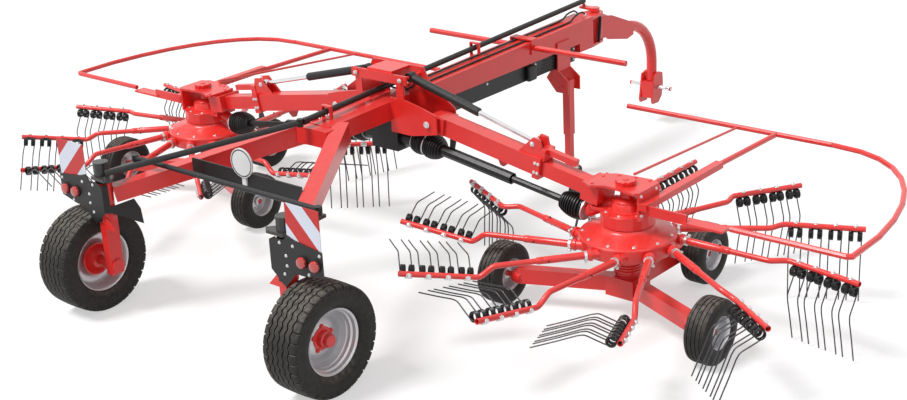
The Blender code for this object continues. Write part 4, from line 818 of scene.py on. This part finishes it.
# ---------------------------------------------------------------- Carriage wheels
# Small smooth ribbed tyres on pressed silver rims, three under each rotor, each on a stub axle with a cap.
SMALL_GROOVES = (-0.045, -0.015, 0.015, 0.045)
for side, sign in SIDES:
    for spot in ("inner", "outer", "front"):
        low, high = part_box(f"carriage_wheel_{spot}_right")
        centre = (low + high) / 2
        outer_side = -1 if spot in ("outer", "front") else 1
        section = [(-0.070, 0.106), (-0.084, 0.122), (-0.0895, 0.15), (-0.0875, 0.178), (-0.080, 0.200),
                   (-0.068, 0.2165)]
        for x in SMALL_GROOVES:
            section += [(x - 0.004, 0.2218), (x - 0.003, 0.2150), (x + 0.003, 0.2150), (x + 0.004, 0.2218)]
        section += [(-x, r) for x, r in reversed(section[:6])]
        bm = bmesh.new()
        ring_of_rows(bm, centre, [(2 * math.pi * k / 72, section) for k in range(72)])
        tyre = add_piece(f"small_tyre_{spot}_{side}", bm, tyre_rubber, f"carriage_wheel_{spot}_{side}", sign, 32)
        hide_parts(f"carriage_wheel_{spot}_{side}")
        axis = frame_along(centre, centre + Vector((-outer_side, 0, 0)))
        bm = bmesh.new()
        lathe(bm, axis, [(-0.078, 0.112), (-0.074, 0.1165), (-0.066, 0.1145), (-0.060, 0.104), (-0.035, 0.100),
                         (0.035, 0.100), (0.060, 0.104), (0.066, 0.1145), (0.074, 0.1165), (0.078, 0.112),
                         (0.068, 0.104), (0.058, 0.0985), (0.030, 0.0955), (0.004, 0.093), (0.000, 0.075),
                         (0.012, 0.050), (0.012, 0.024), (0.007, 0.024), (0.007, 0.048), (-0.005, 0.074),
                         (-0.003, 0.0955), (-0.030, 0.0955), (-0.058, 0.0985), (-0.068, 0.104)], 64)
        lathe(bm, axis, [(-0.035, 0.0225), (-0.035, 0.040), (0.034, 0.036), (0.040, 0.030), (0.041, 0.0225)], 32)
        for k in range(4):
            angle = math.pi * k / 2 + 0.4
            stud = axis @ Vector((0.058 * math.cos(angle), 0.058 * math.sin(angle), 0.008))
            bolt(bm, stud, axis.to_3x3() @ Vector((0, 0, 1)), 0.008, 0.010)
        add_piece(f"small_rim_{spot}_{side}", bm, silver_paint, f"carriage_wheel_{spot}_{side}", sign, 40)

# ---------------------------------------------------------------- Rotors
# Under each head turns a cast bell with eleven sockets. A tube arm in each is cranked and carries four pairs of
# sprung wire tines, which hang from black holders bolted through its straight outer end.
ARMS, ARM_Z, ARM_ROOT = 11, 0.56, 0.34
ROOT_ANGLE, ARM_ANGLE, LEFT_TURN = math.radians(197.7), math.radians(164.4), math.radians(20.2)
CAM = ((190, 0), (225, 95), (310, 95), (400, 0))
CRANK_START, CRANK_END, CRANK_SIDE = 0.66, 0.79, 0.07
BAR_END, BAR_END_SIDE = 1.31, -0.025
BAR_LENGTH = math.hypot(BAR_END - CRANK_END, BAR_END_SIDE - CRANK_SIDE)
BAR_WAY = (Vector((BAR_END, BAR_END_SIDE)) - Vector((CRANK_END, CRANK_SIDE))).normalized()
rotor_axle = Vector((2.10, wheel_centre.y + 2.0, 0))
TUBE_R, COIL_R, COIL_BORE = 0.0195, 0.0355, 0.0265
spring_steel = weathered("spring_steel", (0.055, 0.056, 0.062), 0.36, dust=0.1, wear=0.2, wear_colour=(0.3, 0.3, 0.3),
                         metallic=0.7)


def cam_swing(angle):
    """How far the cam has turned an arm whose root stands at this angle."""
    degrees = (math.degrees(angle) - CAM[0][0]) % 360 + CAM[0][0]
    for (a0, swing0), (a1, swing1) in zip(CAM, CAM[1:]):
        if a0 <= degrees <= a1:
            share = (degrees - a0) / (a1 - a0)
            return math.radians(swing0 + (swing1 - swing0) * share * share * (3 - 2 * share))
    return 0.0


for side, sign in SIDES:
    bell, tubes, plated, holders, tines = (bmesh.new() for _ in range(5))
    lathe(bell, Matrix.Translation(rotor_axle),
          [(0.684, 0.065), (0.684, 0.183), (0.672, 0.188), (0.664, 0.196), (0.650, 0.232), (0.632, 0.285),
           (0.618, 0.325), (0.606, 0.3335), (0.530, 0.3335), (0.515, 0.326), (0.515, 0.300), (0.592, 0.298),
           (0.640, 0.190), (0.640, 0.065)], 88)
    for k in range(ARMS):
        angle = 2 * math.pi * (k + 0.5) / ARMS
        spot = rotor_axle + Vector((0.305 * math.cos(angle), 0.305 * math.sin(angle), 0.6255))
        bolt(plated, spot, (0.28 * math.cos(angle), 0.28 * math.sin(angle), 0.95), 0.009, 0.007)
    for k in range(ARMS):
        phase = 2 * math.pi * k / ARMS + (LEFT_TURN if sign < 0 else 0)
        root_angle, angle = ROOT_ANGLE + phase, ARM_ANGLE + phase
        swing = cam_swing(root_angle)
        root = rotor_axle + Vector((ARM_ROOT * math.cos(root_angle), ARM_ROOT * math.sin(root_angle), ARM_Z))
        along = Vector((math.cos(angle), math.sin(angle), 0))
        flat = Vector((-math.sin(angle), math.cos(angle), 0))
        out = flat * math.cos(swing) - Vector((0, 0, 1)) * math.sin(swing)
        down = -Vector((0, 0, 1)) * math.cos(swing) - flat * math.sin(swing)

        round_bar(bell, root - along * 0.14, root + along,
                  [(0, 0.034), (0.155, 0.034), (0.158, 0.042), (0.176, 0.042), (0.180, 0.036), (0.192, 0.0335)], 20)
        crank = []
        for step in range(9):
            t = step / 8
            crank.append((CRANK_START + (CRANK_END - CRANK_START) * t, CRANK_SIDE * (3 - 2 * t) * t * t))
        path = [(0.33, 0), (0.60, 0), *crank, (BAR_END, BAR_END_SIDE)]
        round_bar(tubes, root + along * 0.04, root + along,
                  [(0, 0.0235), (0.035, 0.0235), (0.037, 0.0255), (0.300, 0.0255), (0.303, 0.0240), (0.306, 0.0255),
                   (0.345, 0.0250), (0.352, 0.0225)], 18)
        hose(tubes, [root + along * a + out * b for a, b in path], TUBE_R, 14, 0.0155)
        round_bar(plated, root + along * 0.052, root + along,
                  [(0, 0.0275), (0.001, 0.0325), (0.019, 0.0325), (0.020, 0.0275)], 20)
        clamp = root + along * 0.062 + out * 0.034
        round_bar(plated, clamp - down * 0.028, clamp + down * 0.03, [(0, 0.0055), (0.056, 0.0055)], 10)
        bolt(plated, clamp - down * 0.026, -down, 0.009, 0.008)
        pin_at = root + along * 0.315
        round_bar(holders, pin_at - down * 0.034, pin_at + down, [(0, 0.006), (0.068, 0.006)], 10)

        bar = along * BAR_WAY.x + out * BAR_WAY.y
        leg_way = (out * BAR_WAY.x - along * BAR_WAY.y).normalized()
        bar_start = root + along * CRANK_END + out * CRANK_SIDE
        for pair in range(4):
            spot = bar_start + bar * (BAR_LENGTH * (pair + 0.5) / 4)
            bolt(plated, spot - down * (TUBE_R - 0.001), -down, 0.0125, 0.012)
            round_bar(plated, spot + out * 0.014 - bar * 0.026, spot + out * 0.014 + bar,
                      [(0, 0.010), (0.001, 0.0165), (0.051, 0.0165), (0.052, 0.010)], 6)
            round_bar(holders, spot + down * 0.010 - bar * 0.026, spot + down * 0.010 + bar,
                      [(0, 0.010), (0.001, 0.0165), (0.051, 0.0165), (0.052, 0.010)], 8)
            for leg in (-1, 1):
                middle = spot + down * 0.056 + bar * leg * 0.0295 - leg_way * 0.004
                turn_axis = frame_along(middle - bar * 0.0165, middle + bar, down)
                turns = [(0, COIL_BORE)]
                for turn_of_wire in range(3):
                    near = turn_of_wire * 0.011
                    turns += [(near + 0.001, COIL_R - 0.003), (near + 0.004, COIL_R), (near + 0.008, COIL_R),
                              (near + 0.0105, COIL_R - 0.003)]
                lathe(holders, turn_axis, [*turns, (0.033, COIL_BORE)], 26)
                start = middle + leg_way * 0.030 + bar * leg * 0.011
                reach = [start + down * a - leg_way * b
                         for a, b in ((0.0, 0.0), (0.05, 0.022), (0.10, 0.047), (0.137, 0.066), (0.150, 0.071),
                                      (0.165, 0.0735), (0.20, 0.070), (0.32, 0.040), (0.488, 0.002))]
                hose(tines, reach, 0.0046, 8)
    rotor = add_piece(f"rotor_bell_{side}", bell, red_paint, f"rotor_{side}", sign, 30)
    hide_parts(f"rotor_{side}")
    add_piece(f"arm_tubes_{side}", tubes, red_paint, f"rotor_{side}", sign, 40)
    add_piece(f"arm_clamps_{side}", plated, zinc, f"rotor_{side}", sign, 35)
    add_piece(f"tine_holders_{side}", holders, black_plastic, f"rotor_{side}", sign, 35)
    add_piece(f"tines_{side}", tines, spring_steel, f"rotor_{side}", sign, 60)
